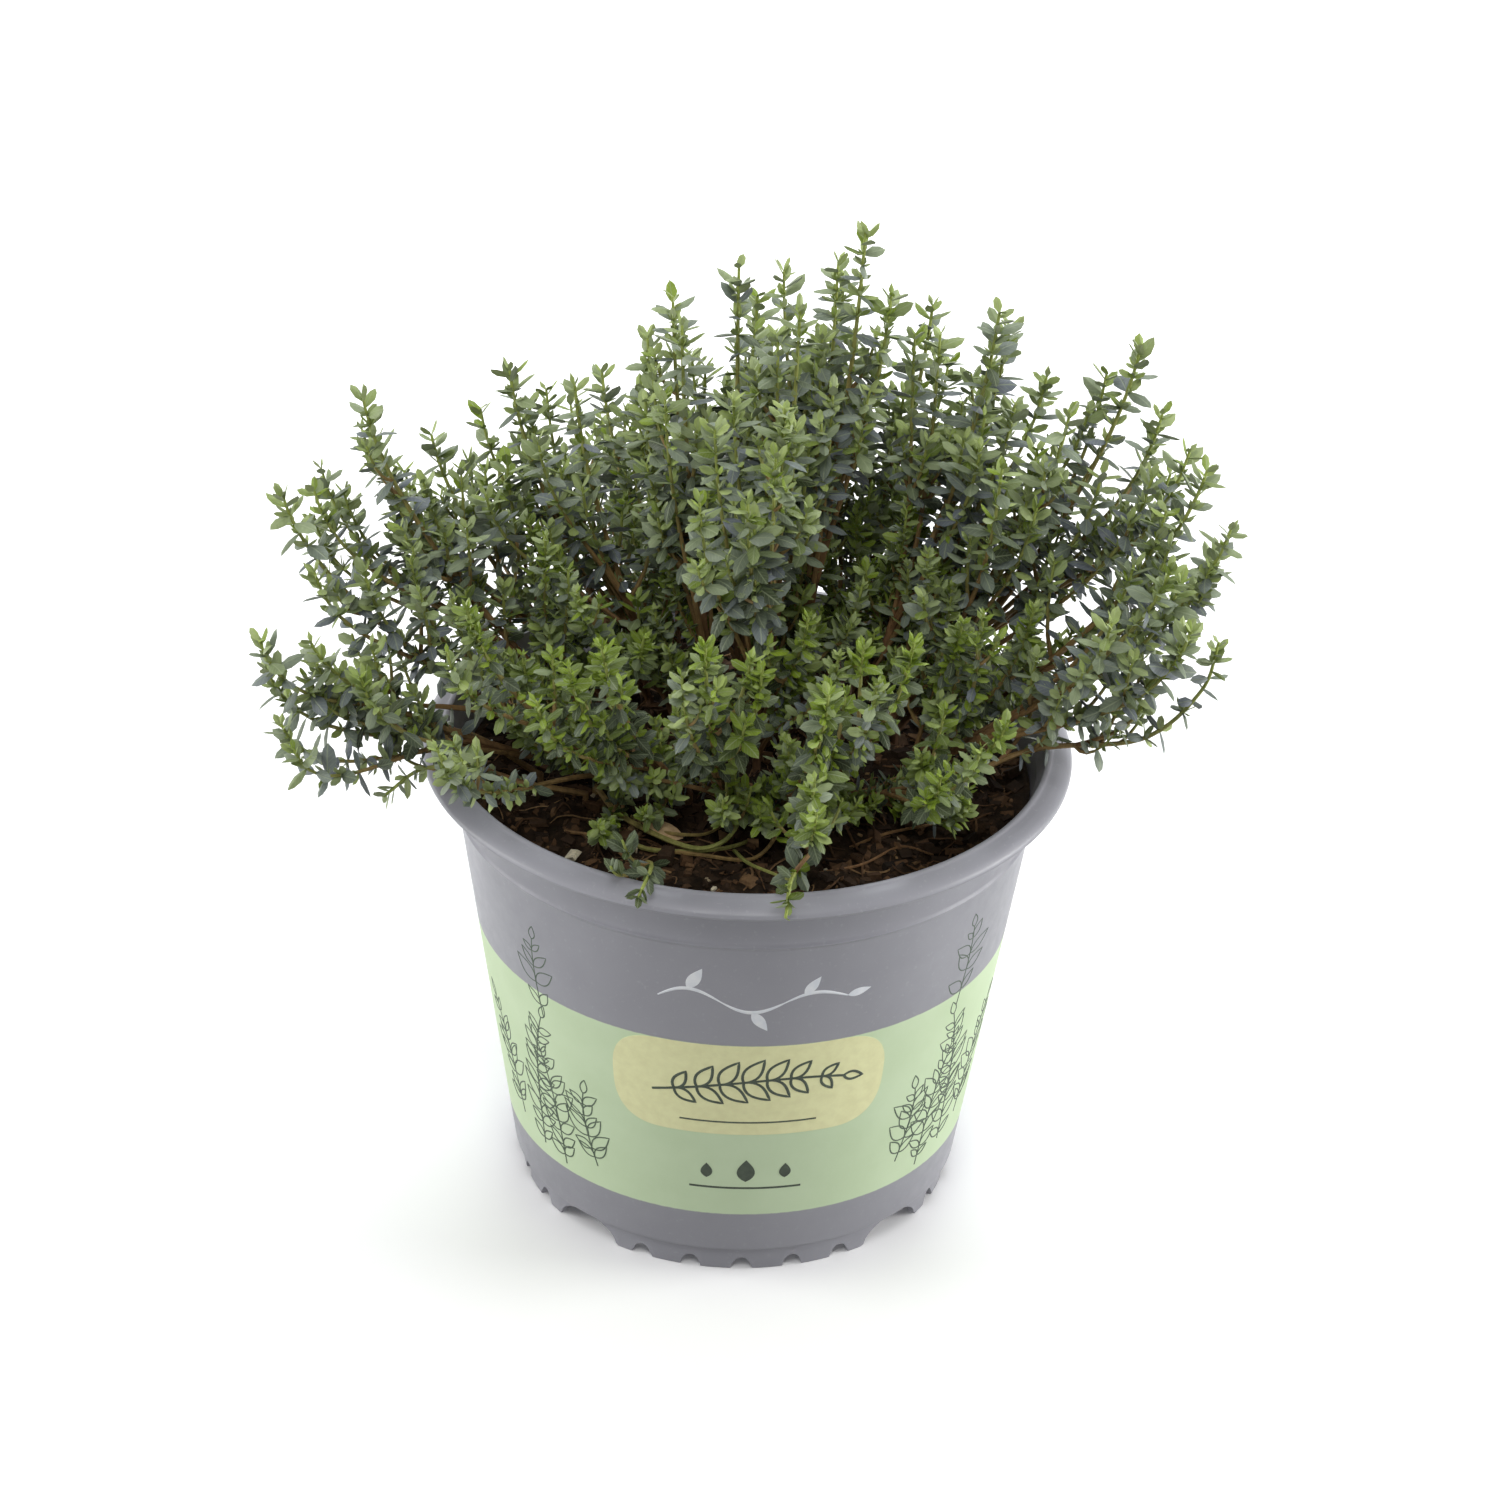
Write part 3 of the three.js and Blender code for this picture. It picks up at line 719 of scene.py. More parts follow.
def filled(shape, outline, rings):
    """An area of ink inside an outline, filled from its middle in rings."""
    middle = outline.mean(0)
    count = len(outline)
    points = [on_wall(*middle, INK)]
    for ring in range(1, rings + 1):
        for place in middle + (outline - middle) * (ring / rings):
            points.append(on_wall(*place, INK))
    points += [on_wall(*place, INK_EDGE) for place in outline]
    faces = [(0, 1 + i, 1 + (i + 1) % count) for i in range(count)]
    for ring in range(rings):
        low, high = 1 + ring * count, 1 + (ring + 1) * count
        faces += [(low + i, high + i, high + (i + 1) % count, low + (i + 1) % count) for i in range(count)]
    shape.add(points, faces)


def level_line(reach, z, count=16):
    return np.array([(x, z) for x in np.linspace(-reach, reach, count)])


def even(outline, count):
    """The same closed outline with points at equal distances."""
    closed = np.vstack([outline, outline[:1]])
    along = np.concatenate([[0], np.cumsum(np.linalg.norm(np.diff(closed, axis=0), axis=1))])
    places = np.linspace(0, along[-1], count, endpoint=False)
    return np.stack([np.interp(places, along, closed[:, k]) for k in range(2)], 1)


def leaf_outline(x, z, turn, length, width, count=22):
    """A pointed leaf outline that starts at a place and runs in a direction."""
    t = np.linspace(0, 1, count // 2)
    half = width / 2 * np.sin(math.pi * t ** 0.8)
    there = np.stack([t * length, half], 1)
    back = np.stack([t * length, -half], 1)[::-1]
    line = np.vstack([there, back[1:]])
    c, s = math.cos(turn), math.sin(turn)
    return line @ np.array([[c, s], [-s, c]]) + [x, z]


def curl(x, z, turn, length, bend, count=26):
    """A line that starts at a place and bends more and more along its length."""
    t = np.linspace(0, 1, count)
    angles = turn + bend * t * t
    steps = np.stack([np.cos(angles), np.sin(angles)], 1) * length / (count - 1)
    return np.vstack([[x, z], [x, z] + np.cumsum(steps[:-1], axis=0)])


def sprig(shape, x, z, turn, length, bend, leaves, leaf, width, vary, base=0.0):
    """An outlined sprig: a bent stalk with pairs of open leaf outlines, which vary(share) makes unlike."""
    line = curl(x, z, turn, length, bend)
    stroke(shape, line, width, base)
    for k in range(leaves):
        t = (k + vary(0.3)) / (leaves + 0.6)
        i = int(t * (len(line) - 2))
        heading = math.atan2(*(line[i + 1] - line[i])[::-1])
        size = leaf * (0.6 + 0.9 * math.sin(math.pi * t) ** 0.8 * (1 - 0.3 * t))
        for side in (1, -1):
            long = size * vary(0.25)
            opening = side * 0.85 * vary(0.3)
            outline = leaf_outline(*line[i], heading + opening, long, long * 0.45 * vary(0.2))
            stroke(shape, outline, width, base)
    tip = math.atan2(*(line[-1] - line[-2])[::-1])
    stroke(shape, leaf_outline(*line[-1], tip, leaf * 0.8, leaf * 0.38), width, base)


def print_piece(shape, name, ink, light, dark):
    shape.build(name, [ink_material(ink, light, dark)], "pot_plastic")


def make_panel():
    """The pale yellow panel on the front of the band."""
    shape = Shape()
    across, up = PANEL_WIDTH / 2, PANEL_HEIGHT / 2
    corners = [(x, PANEL_Z + z) for x, z in ((-across, -up), (across, -up), (across, up), (-across, up))]
    filled(shape, even(rounded(corners, PANEL_ROUNDING, 12), 160), 10)
    print_piece(shape, "print_panel", "panel_ink", (238, 238, 186), (230, 229, 177))


def make_ornament():
    """A sprig over a line on the panel, and three drops over a line under it."""
    shape = Shape()
    sprig(shape, -21, PANEL_Z - 2, 0.25, 42, -0.5, 7, 5.6, 0.7, lambda share: 1, INK)
    stroke(shape, level_line(UNDERLINE_REACH, UNDERLINE_Z), 0.5, INK)
    for x, size in DROPS:
        filled(shape, leaf_outline(x, DROPS_Z - size / 2, math.pi / 2, size * 1.2, size * 0.8), 3)
    stroke(shape, level_line(DROP_LINE_REACH, DROP_LINE_Z), 0.7)
    print_piece(shape, "print_dark_ornament", "dark_ink", (70, 82, 66), (52, 62, 50))


def make_side_sprigs():
    """Thin outlined sprigs at both sides of the panel, no two alike."""
    draw = random.Random("print")
    shape = Shape()
    for side in (1, -1):
        for x, z, turn, length, bend, leaves, leaf in SIDE_SPRIGS:
            x = side * (x + draw.uniform(-1.5, 1.5))
            z += draw.uniform(-2, 2)
            heading = turn if side > 0 else math.pi - turn
            sprig(shape, x, z, heading, length, side * bend, leaves, leaf, LINE_WIDTH,
                  lambda share: draw.uniform(1 - share, 1 + share))
    print_piece(shape, "print_side_sprigs", "green_ink", (88, 104, 84), (70, 86, 68))


def make_flourish():
    """A white wave with small leaves over the band."""
    shape = Shape()
    t = np.linspace(0, 1, 90)
    wave = np.sin(t * 3 * math.pi)
    line = np.stack([FLOURISH_WIDTH * t - FLOURISH_WIDTH / 2, FLOURISH_Z + 3.2 * wave * (1 - 0.4 * t)], 1)
    stroke(shape, line, 0.5 + 0.9 * np.abs(wave))
    for x, turn, size in FLOURISH_LEAVES:
        spot = line[np.argmin(np.abs(line[:, 0] - x))]
        filled(shape, leaf_outline(*spot, turn, size, size * 0.4), 3)
    print_piece(shape, "print_white_flourish", "white_ink", (236, 238, 240), (222, 226, 232))


# Soil

BITS_RADIUS = inner_radius(SOIL_TOP) - BITS_INSET


def soil_height(x, y):
    inward = 1 - math.hypot(x, y) / inner_radius(SOIL_TOP)
    clods = math.sin(0.31 * x + 1.3) * math.cos(0.27 * y) + 0.6 * math.sin(0.52 * y - 0.44 * x)
    return SOIL_TOP + SOIL_CROWN * inward + clods * min(1, 4 * inward)


def crumbly(x, y):
    """The soil's height with its crumbs."""
    edge = min(1, max(0, (inner_radius(SOIL_TOP) - math.hypot(x, y)) / 4))
    fine = noise.fractal(Vector((x, y, 3)) * 0.35, 0.9, 2.1, 5)
    lumps = noise.noise(Vector((x, y, 8)) * 0.16)
    return soil_height(x, y) + edge * (0.9 * fine + 1.1 * lumps)


def make_soil():
    """The plug, flat below and crumbly on top."""
    shape = Shape()
    edge = inner_radius(SOIL_TOP) - SOIL_GAP
    floor = FLOOR_TOP + SOIL_GAP
    count = SOIL_SEGMENTS
    levels = [(inner_radius(floor) - SOIL_GAP, floor), (edge, SOIL_TOP)]
    levels += [(edge * (1 - k / SOIL_RINGS), None) for k in range(1, SOIL_RINGS)]
    points = [(0, 0, floor)]
    for r, z in levels:
        for i in range(count):
            x, y = around(2 * math.pi * i / count, r)
            points.append((x, y, crumbly(x, y) if z is None else z))
    points.append((0, 0, crumbly(0, 0)))
    faces = [(0, 1 + (i + 1) % count, 1 + i) for i in range(count)]
    for k in range(len(levels) - 1):
        faces += between(1 + k * count, 1 + (k + 1) * count, count)
    faces += fan(1 + (len(levels) - 1) * count, len(points) - 1, count)
    shape.add(points, faces)
    soil = shape.build("soil_plug", [soil_material()], "potting_soil", math.radians(80))
    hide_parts("potting_soil")


def chip(shape, draw, place, size, tone):
    """A small angular bit with eight corners."""
    spin = Matrix.Rotation(draw.uniform(0, 6.28), 3, "Z") @ Matrix.Rotation(draw.uniform(-0.6, 0.6), 3, "X")
    corners = []
    for x in (-1, 1):
        for y in (-1, 1):
            for z in (-1, 1):
                corner = Vector((x * size[0], y * size[1], z * size[2])) * draw.uniform(0.6, 1.1) / 2
                corners.append(np.array(spin @ corner) + place)
    faces = [(0, 1, 3, 2), (4, 6, 7, 5), (0, 4, 5, 1), (2, 3, 7, 6), (0, 2, 6, 4), (1, 5, 7, 3)]
    shape.add(corners, faces, tone=tone)


def soil_spot(draw, share=1.0):
    """A place anywhere on the soil, or within a share of its radius."""
    r = BITS_RADIUS * share * math.sqrt(draw.random())
    return around(draw.uniform(0, 2 * math.pi), r)


def add_chip(shape, draw):
    """A chip of bark."""
    x, y = soil_spot(draw)
    length = draw.choice(CHIP_LENGTHS) * draw.uniform(0.8, 1.3)
    size = (length, length * draw.uniform(0.3, 0.8), length * draw.uniform(0.2, 0.5))
    place = np.array([x, y, crumbly(x, y) + 0.2 * size[2]])
    chip(shape, draw, place, size, draw.triangular(0, 0.85, 0.3))


def add_grain(shape, draw):
    """A white grain."""
    x, y = soil_spot(draw)
    size = [draw.uniform(0.8, 1.7) for _ in range(3)]
    chip(shape, draw, np.array([x, y, crumbly(x, y) + 0.3]), size, draw.uniform(0.93, 1.0))


def add_fibre(shape, draw):
    """A bent fibre that rises in its middle and stops short of the wall."""
    x, y = soil_spot(draw, 0.96)
    turn = draw.uniform(0, 2 * math.pi)
    length = draw.uniform(3, 11)
    bend = draw.uniform(-0.9, 0.9)
    line = []
    for k in range(FIBRE_STEPS + 1):
        share = k / FIBRE_STEPS
        px = x + math.cos(turn + bend * share) * length * (share - 0.5)
        py = y + math.sin(turn + bend * share) * length * (share - 0.5)
        if math.hypot(px, py) < BITS_RADIUS + 1:
            line.append((px, py, crumbly(px, py) + 0.25 + 0.5 * math.sin(math.pi * share)))
    if len(line) > 3:
        radii = draw.uniform(0.12, 0.32) * np.sin(np.linspace(0.5, 2.6, len(line)))
        tube(shape, Stem(line), radii, 5, tone=draw.triangular(0.25, 0.9, 0.6))


def make_soil_bits():
    """Bark, white grains and fibres all over the soil, and one pale flake."""
    draw = random.Random("soil bits")
    shape = Shape("tone")
    for count, add_bit in ((CHIP_COUNT, add_chip), (GRAIN_COUNT, add_grain), (FIBRE_COUNT, add_fibre)):
        for _ in range(count):
            add_bit(shape, draw)
    chip(shape, draw, root_at(*PALE_FLAKE_PLACE) + UP, PALE_FLAKE_SIZE, 1.0)
    shape.build("soil_crumbs", [crumb_material()], "potting_soil", math.radians(30))


# Leaves

def leaf_template(stations):
    """Points and faces of one leaf: two upper halves that meet along the midrib, and a flat underside."""
    last = len(stations) - 1
    places = []
    for u, w in stations:
        places += [(u, -w, 0), (u, 0, 1), (u, w, 0)]
    places.append((1, 0, 0))
    tip = len(places) - 1
    upper, lower = [], []
    for k in range(last):
        a, b = 3 * k, 3 * (k + 1)
        upper += [(a, b, b + 1, a + 1), (a + 1, b + 1, b + 2, a + 2)]
        lower.append((a + 2, b + 2, b, a))
    a = 3 * last
    upper += [(a, tip, a + 1), (a + 1, tip, a + 2)]
    lower += [(a + 2, tip, a), (0, 1, 2)]
    return np.array(places, float), upper + lower, [1] * len(upper) + [2] * len(lower)


LARGE, SMALL, TINY = leaf_template(LARGE_LEAF), leaf_template(SMALL_LEAF), leaf_template(TINY_LEAF)


def in_room(points, slack=0.0):
    """Whether every point is inside the solids' box and clear of the pot and the soil."""
    points = np.atleast_2d(points)
    if (points < ROOM_LOW + slack).any() or (points > ROOM_HIGH - slack).any():
        return False
    r = np.hypot(points[:, 0], points[:, 1])
    low = points[:, 2] < POT_HEIGHT + 0.5
    on_rim = low & (r > RIM_INNER_RADIUS - 1) & (r < RIM_RADIUS + 0.6)
    if on_rim.any():
        return False
    inside = low & (r <= RIM_INNER_RADIUS - 1)
    return all(points[k, 2] > soil_height(*points[k, :2]) + 0.6 for k in np.flatnonzero(inside))


class Sprigs:
    """One shoot's stems and leaves, with how bright, dense and young they are."""

    def __init__(self, name, fresh_and_shade, density=1.0, vigour=1.0):
        self.draw = random.Random(name)
        self.shape = Shape("youth", "tone", "across", "lengthwise")
        self.fresh_and_shade = fresh_and_shade
        self.density = density
        self.vigour = vigour

    def vary(self, value, share):
        return value * self.draw.uniform(1 - share, 1 + share)

    def leaf(self, base, tangent, out, opening, length, youth):
        """A leaf that leaves its stem at an opening angle, hollowed down at the edges and arched."""
        draw = self.draw
        stray = np.array([draw.gauss(0, 0.1) for _ in range(3)])
        along = unit(swing(opening, tangent, out) + stray)
        upper = unit(tangent - along * tangent.dot(along))
        side = np.cross(upper, along)
        roll = draw.gauss(0, 0.38)
        upper, side = swing(roll, upper, side), swing(-roll, side, upper)
        places, faces, finish = LARGE if length > LARGE_FROM else SMALL if length > SMALL_FROM else TINY
        width = length * self.vary(LEAF_BROAD, 0.14)
        u, across, face = places.T
        arch = self.vary(0.12 + 0.22 * (1 - youth), 0.5)
        fold = draw.uniform(0.15, 0.45)
        x = u * length * (1 - 0.3 * arch * u)
        y = across * width / 2
        z = -arch * length * u * u + 0.1 * length * u - fold * np.abs(y) + face * 0.05 * length ** 0.5
        points = base + x[:, None] * along + y[:, None] * side + z[:, None] * upper
        if in_room(points):
            tone = draw.gauss(self.fresh_and_shade, 0.45)
            self.shape.add(points, faces, finish, youth=youth * self.vigour, tone=tone,
                           across=across, lengthwise=u)

    def stem(self, line, radius, tip_radius, youth):
        """A stem that thins and grows younger from its root to its tip."""
        t = line.along / line.length
        radii = radius + (tip_radius - radius) * t
        youths = youth + (TIP_YOUTH - youth) * t
        tube(self.shape, line, radii, 4 if radius < 0.5 else 6, youth=youths)

    def pairs(self, line, bare, least, size):
        """Pairs of leaves from the tip down, each square to the next, closer and smaller at the tip.

        Returns the nodes: distance from the root, side, and distance from the tip."""
        draw = self.draw
        s = line.length
        turn = draw.uniform(0, math.pi)
        nodes = []
        while s > bare:
            below = line.length - s
            youth = max(least, math.exp(-below / 8) * draw.uniform(0.75, 1.1))
            length = LEAF_LENGTH * size * (1 - 0.5 * math.exp(-below / 3)) * (1 - 0.3 * min(1, below / 90))
            opening = 0.6 + 0.9 * (1 - math.exp(-below / 7)) + draw.gauss(0, 0.2)
            point, tangent, side, face = line.at(s)
            for half in (0, math.pi):
                out = swing(turn + half, side, face)
                if draw.random() < 0.92 * self.density ** 0.5:
                    self.leaf(point, tangent, out, opening, self.vary(length, 0.2), youth)
                if below > 4:
                    nodes.append((s, out, below))
            spacing = TIP_SPACING + (LEAF_SPACING - TIP_SPACING) * min(1, below / 12)
            s -= size * self.vary(spacing, 0.2)
            turn += math.pi / 2 + draw.gauss(0, 0.12)
        return nodes

    def tuft(self, base, tangent, out):
        """Young leaves in the axil of a leaf."""
        draw = self.draw
        along = unit(0.9 * tangent + 0.45 * out)
        side = unit(np.cross(along, out))
        turn = draw.uniform(0, math.pi)
        size = draw.uniform(2.4, 4.6)
        youth = draw.uniform(0.6, 1.0)
        for share, opening in ((1.0, 0.8), (0.6, 0.3)):
            for half in (0, math.pi):
                away = swing(turn + half, side, np.cross(along, side))
                self.leaf(base, along, away, opening, self.vary(size * share, 0.2), youth)
            turn += math.pi / 2

    def twig(self, base, tangent, out, length):
        """A side twig that opens from its stem and turns straight up."""
        start = unit(0.5 * tangent + 0.85 * out)
        rise = unit(0.25 * start + 0.3 * tangent + 0.85 * UP)
        line = self.reach(base, start, rise, length)
        if line is None:
            return
        self.stem(line, 0.32 + 0.01 * length, 0.26, 0.5)
        for s, side, _ in self.pairs(line, 2 + 0.12 * length, 0.08, 0.86):
            if self.draw.random() < 0.3:
                point, along, _, _ = line.at(s)
                self.tuft(point, along, side)

    def reach(self, base, start, rise, length):
        """A curve that sets out one way and ends another, shortened until it is in the room."""
        while length > 5:
            bend = base + start * length * 0.35
            tip = bend + rise * length * 0.68
            if in_room(np.array([bend, tip, (bend + tip) / 2]), CLEARANCE):
                t = np.linspace(0, 1, 6)[:, None]
                return Stem(base * (1 - t) ** 2 + 2 * bend * t * (1 - t) + tip * t * t)
            length *= 0.78
        return None

    def clothe(self, line, bare, reach, size):
        """The leaf pairs, side twigs and tufts of a stem."""
        draw = self.draw
        for s, out, below in self.pairs(line, bare, LEAST_YOUTH, size):
            point, tangent, _, _ = line.at(s)
            chance = 0.06 if below < OPEN_TOP else 0.2
            if below > 12 and draw.random() < chance:
                self.twig(point, tangent, out, min(reach, draw.uniform(0.35, 0.8) * below))
            elif draw.random() < self.density * (0.8 if below < 60 else 0.3):
                self.tuft(point, tangent, out)

    def branch(self, line, start, tip, size, bare=0.22):
        """A lesser stem that leaves the main one low down and ends at a tip of its own."""
        s = start * line.length
        base, tangent, _, _ = line.at(s)
        span = np.linalg.norm(tip - base)
        heading = unit(tip - base)
        curve = bezier(base, base + 0.35 * span * unit(tangent + 0.7 * heading),
                       tip - 0.4 * span * unit(0.4 * heading + UP), tip, 16)
        if span < 12 or not in_room(curve, CLEARANCE):
            return
        made = Stem(curve)
        self.stem(made, 0.45 + 0.003 * span, 0.3, 0.25)
        self.clothe(made, bare * made.length, 0.7 * TWIG_REACH, size)

    def build(self, name, materials):
        piece = self.shape.build("thyme_" + name, materials, "thyme")
        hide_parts(name)


def add_side_stem(sprigs, line, far, size):
    """A stem that ends beside its shoot's tip, and lower the further out it is."""
    draw = sprigs.draw
    tip = line.points[-1]
    turn = draw.uniform(0, 2 * math.pi)
    far = draw.uniform(*far)
    outwards = far * math.cos(turn - math.atan2(tip[1], tip[0]))
    drop = draw.uniform(0.04, 0.28) * (tip[2] - 100) + max(0, outwards)
    end = tip + [*around(turn, far), -drop]
    sprigs.branch(line, draw.uniform(0.1, 0.4), end, size, BARE_SHARE)


def add_low_stem(sprigs, line, heights):
    """A low stem that fills the foot of the bush where its shoot leans."""
    draw = sprigs.draw
    tip, root = line.points[-1], line.points[1]
    turn = math.atan2(tip[1], tip[0]) + draw.gauss(0, 0.9)
    far = draw.uniform(8, 34)
    end = root * [1, 1, 0] + [*around(turn, far), draw.uniform(*heights)]
    sprigs.branch(line, draw.uniform(0.08, 0.2), end, 0.6)


def grow_bush(name, points, materials):
    """A bush shoot with its side and low stems. Those in front are smaller and fresher, and the front and
    low stems get very dark old leaves as painted shade.
    """
    line = Stem(points)
    in_front = points[1][1] < FRONT_ROOTS
    size = 0.78 if in_front else 1.04
    sprigs = Sprigs(name, 1.3 if in_front else 0.1)
    draw = sprigs.draw
    sprigs.stem(line, 1.0, 0.34, 0.0)
    sprigs.clothe(line, BARE_SHARE * line.length, TWIG_REACH, size)
    for k in range(FRONT_SIDE_STEMS if in_front else SIDE_STEMS):
        # Front side stems get a fresh tone, whose dark old leaves are painted shade
        sprigs.fresh_and_shade = draw.choice(FRONT_FRESHNESS_AND_SHADE) if in_front else draw.gauss(0.1, 0.25)
        add_side_stem(sprigs, line, (4, 9) if k % 2 else (9, 22), 0.96 * size)
    for _ in range(LOW_STEMS):
        # Low stems at the foot of the bush: their fresh tone gives dark old leaves as painted shade
        sprigs.fresh_and_shade = draw.uniform(0.3, 1.1) if in_front else draw.uniform(0, 1.2)
        add_low_stem(sprigs, line, (108, 124) if in_front else (116, 156))
    sprigs.build(name, materials)


def grow_low(place, points, materials):
    """A low or trailing shoot."""
    name = "trailing_shoot_" + place
    sprigs = Sprigs(name, FRESHNESS_AND_SHADE.get(place, 0), 0.45, VIGOUR.get(place, 1))
    line = Stem(points)
    sprigs.stem(line, 0.8, 0.34, 0.55 if sprigs.fresh_and_shade > 0 else 0.3)
    sprigs.clothe(line, LOW_BARE.get(place, 0.35) * line.length, 0.6 * TWIG_REACH, 0.8)
    for start, tip in SIDE_TIPS.get(place, ()):
        sprigs.branch(line, start, np.array(tip, float), 0.8)
    sprigs.build(name, materials)


def root_at(x, y):
    return np.array([x, y, soil_height(x, y)])


def draws(seed):
    """The same repeatable draws as the solids use."""
    while True:
        seed = (seed * 1664525 + 1013904223) % 4294967296
        yield seed / 4294967296


def bush_lines():
    """The stems of the bush, as the solids have them."""
    number = draws(SEED)
    tips = []
    for i in range(BUSH_SHOOTS):
        spread = math.sqrt((i + 0.5) / BUSH_SHOOTS)
        azimuth = i * GOLDEN_ANGLE + TURN_SCATTER * (next(number) - 0.5)
        depth = BUSH_BACK if math.sin(azimuth) > 0 else BUSH_FRONT
        height = DOME_TOP - DOME_DROP * spread ** 4 - HEIGHT_SCATTER * next(number)
        tips.append((BUSH_SIDE * math.cos(azimuth) * spread, depth * math.sin(azimuth) * spread, height))
    free = list(range(BUSH_SHOOTS))
    for tip in STANDING_TIPS:
        nearest = min(free, key=lambda k: math.hypot(tips[k][0] - tip[0], tips[k][1] - tip[1]))
        free.remove(nearest)
        tips[nearest] = tip
    lines = {}
    for i, tip in enumerate(tips):
        tip = np.array(tip, float)
        root = root_at(tip[0] * ROOT_SHRINK, tip[1] * ROOT_SHRINK + ROOT_CENTRE_Y)
        out, lift = (tip - root) * [1, 1, 0], (tip - root)[2] * UP
        near_root = root + ROOT_LEAN * out + ROOT_RISE * lift
        near_tip = tip - TIP_LEAN * out - TIP_RISE * lift
        curve = bezier(root + STEM_COLLAR * UP, near_root, near_tip, tip, 30)
        lines[f"shoot_{i + 1:02d}"] = np.vstack([root - STEM_IN_SOIL * UP, root, curve])
    return lines


def low_lines():
    """The stems of the low and trailing shoots, as the solids have them."""
    lines = {}
    for place, (start, *rest) in LOW_SHOOTS.items():
        root = root_at(*start)
        curve = catmull([root + STEM_COLLAR * UP, *rest], 8)
        lines[place] = np.vstack([root - STEM_IN_SOIL * UP, root, curve])
    return lines


def make_runners(materials):
    """Bare runners that lie on the soil at the front."""
    shape = Shape("youth", "tone", "across", "lengthwise")
    for radius, youth, places in RUNNERS:
        line = catmull([(x, y, soil_height(x, y) + rise) for x, y, rise in places], 6)
        radii = radius * np.linspace(1, 0.7, len(line))
        tube(shape, Stem(line), radii, 6, youth=youth)
    shape.build("soil_runners", materials, "thyme")


def make_dead_leaf():
    """A dry leaf, bent along its length and curled down at its edges."""
    shape = Shape()
    places, faces, _ = leaf_template(DEAD_LEAF)
    u, across, face = places.T
    x = u * DEAD_LEAF_LENGTH
    y = across * DEAD_LEAF_LENGTH * DEAD_LEAF_BROAD
    z = 0.9 * np.sin(3 * u + 1) - 0.25 * y * y / 4 + 0.15 * face + DEAD_LEAF_LIFT
    points = np.stack([swing(DEAD_LEAF_TURN, x, -y), swing(DEAD_LEAF_TURN, y, x), z], 1)
    shape.add(points + root_at(*DEAD_LEAF_PLACE), faces)
    shape.build("dead_leaf", [dead_leaf_material()], "thyme")


def make_thyme():
    upper = leaf_material("leaf_upper", *UPPER_COLORS, 0.44)
    lower = leaf_material("leaf_lower", *LOWER_COLORS, 0.65)
    materials = [stem_material(), upper, lower]
    for name, points in bush_lines().items():
        grow_bush(name, points, materials)
    for place, points in low_lines().items():
        grow_low(place, points, materials)
    make_runners(materials)


# Floor, light and camera

CAMERA_DISTANCE = 1200
CAMERA_ELEVATION = math.radians(32.7)
CAMERA_ROLL = math.radians(1.89)
TARGET_HEIGHT = 50
FOCAL_PIXELS = 5445
FRAME_PIXELS = 1500
TARGET_PIXEL = (740, 957)
SENSOR = 36

# Floor: half its width, the distances where its glow begins and is full, in metres, and the full glow
FLOOR_REACH = 6
GLOW_FROM = 0.05
GLOW_TO = 0.8
GLOW = 0.9

# How the surrounding light changes along axes: axis, two places on it, and the factor at each
WORLD_RANGES = [("Z", -1, -0.55, 0.0, 0.6), ("Z", 0.1, 0.8, 1, 0.62), ("Y", -1, 1, 0.8, 1.2)]

# Lights: name, place and size in metres, watts and colour
LIGHT_AIM = (0, 0, 0.1)
LIGHTS = [
    ("top", (0.1, 0.85, 1.3), 0.9, 10, (0.92, 0.96, 1)),
    ("right", (1.4, 0.05, 0.5), 0.8, 16, (1, 1, 1)),
    ("left", (-1.4, 0.05, 0.5), 0.8, 12, (1, 1, 1)),
    ("front", (-0.1, -1.0, 1.5), 0.7, 8, (1, 1, 1)),
]


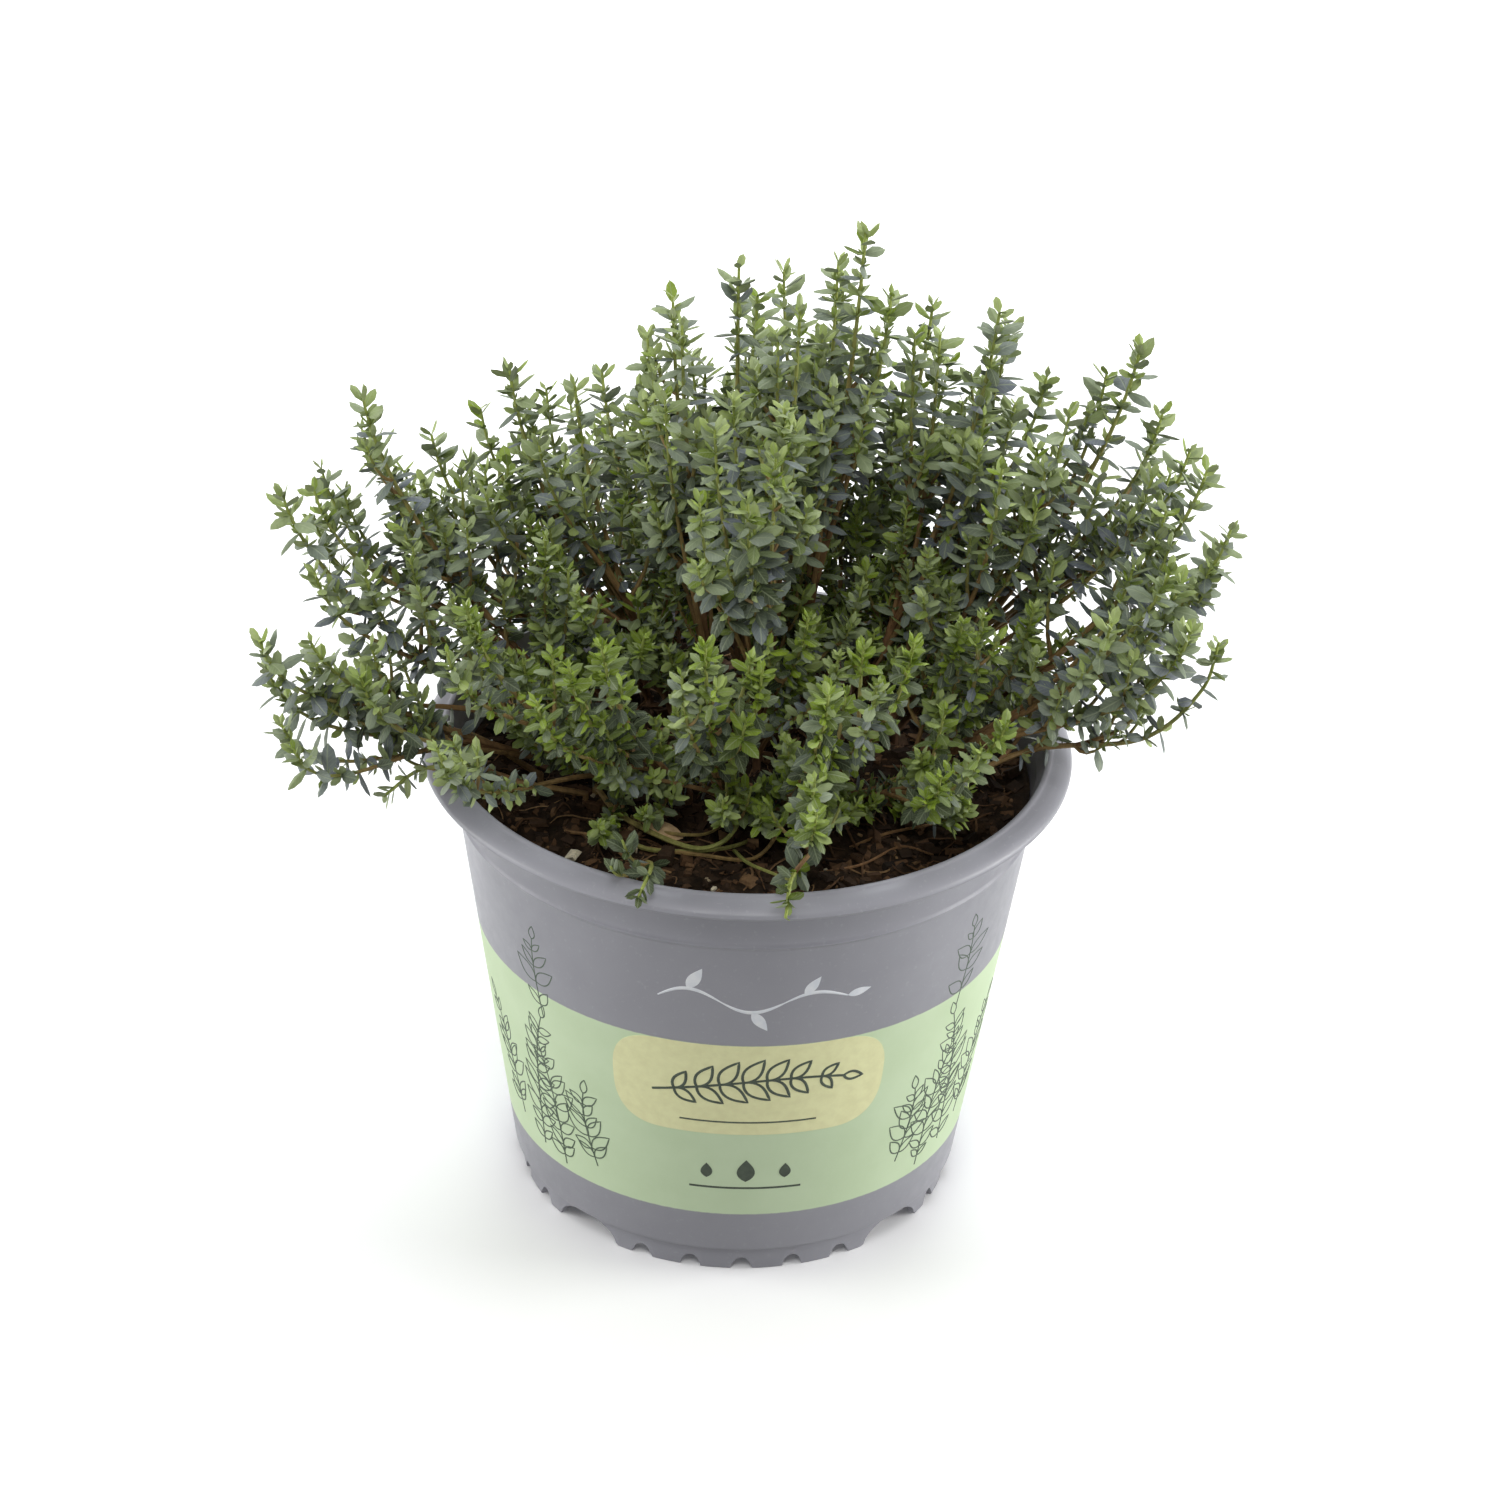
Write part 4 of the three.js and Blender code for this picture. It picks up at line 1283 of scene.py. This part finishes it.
def make_camera():
    """The camera as fitted to the photo, rolled a little, with the target on its pixel."""
    back = np.array([0, -math.cos(CAMERA_ELEVATION), math.sin(CAMERA_ELEVATION)])
    place = np.array([0, 0, TARGET_HEIGHT]) + CAMERA_DISTANCE * back
    level = np.array([1.0, 0, 0])
    upright = np.cross(level, -back)
    right = swing(CAMERA_ROLL, level, upright)
    above = swing(-CAMERA_ROLL, upright, level)
    middle = FRAME_PIXELS / 2
    look = unit(-back + right * (middle - TARGET_PIXEL[0]) / FOCAL_PIXELS
                + above * (TARGET_PIXEL[1] - middle) / FOCAL_PIXELS)
    right = unit(np.cross(look, above))
    above = np.cross(right, look)
    camera = show("camera", bpy.data.cameras.new("camera"))
    camera.data.sensor_width = SENSOR
    camera.data.lens = SENSOR * FOCAL_PIXELS / FRAME_PIXELS
    camera.data.clip_end = 20
    turn = Matrix((right, above, -look)).transposed()
    camera.matrix_world = Matrix.Translation(Vector((place + AXIS) * MM)) @ turn.to_4x4()
    bpy.context.scene.camera = camera


def floor_material():
    """White, and glowing away from the pot so that it has no visible end."""
    n = Nodes("studio_floor", 0.9, 0.1)
    n.color(n.mix(n.range(n.noise(3, 2), 0.3, 0.7), rgb(250, 250, 250), rgb(253, 253, 253)))
    far = n.node("ShaderNodeVectorMath", {0: n.object}, operation="LENGTH").outputs["Value"]
    n.link("Emission Strength", n.range(far, GLOW_FROM, GLOW_TO, 0.0, GLOW))
    return n.material


def make_floor():
    mesh = bpy.data.meshes.new("studio_floor")
    corners = [(FLOOR_REACH * x, FLOOR_REACH * y, 0) for x, y in ((-1, -1), (1, -1), (1, 1), (-1, 1))]
    mesh.from_pydata(corners, [], [(0, 1, 2, 3)])
    mesh.materials.append(floor_material())
    floor = show("studio_floor", mesh)
    floor.visible_diffuse = False


def make_world():
    """White light from all sides, its strength the product of WORLD_RANGES."""
    world = bpy.data.worlds.new("studio")
    world.use_nodes = True
    tree = Tree(world.node_tree)
    direction = tree.node("ShaderNodeTexCoord").outputs["Generated"]
    axes = tree.node("ShaderNodeSeparateXYZ", {0: direction}).outputs
    strength = 1.0
    for axis, *ranges in WORLD_RANGES:
        strength = tree.times(strength, tree.range(axes[axis], *ranges))
    background = world.node_tree.nodes["Background"]
    tree.join((1, 1, 1, 1), background.inputs["Color"])
    tree.join(strength, background.inputs["Strength"])
    bpy.context.scene.world = world


def make_lights():
    for name, place, size, power, color in LIGHTS:
        light = bpy.data.lights.new(name, "AREA")
        light.shape = "DISK"
        light.size = size
        light.energy = power
        light.color = color
        holder = show(name, light)
        holder.location = place
        aim = Vector(LIGHT_AIM) - Vector(place)
        holder.rotation_euler = aim.to_track_quat("-Z", "Y").to_euler()


make_pot()
make_panel()
make_ornament()
make_side_sprigs()
make_flourish()
make_soil()
make_soil_bits()
make_thyme()
make_dead_leaf()
make_floor()
make_world()
make_lights()
make_camera()
bpy.context.scene.view_settings.view_transform = "Standard"
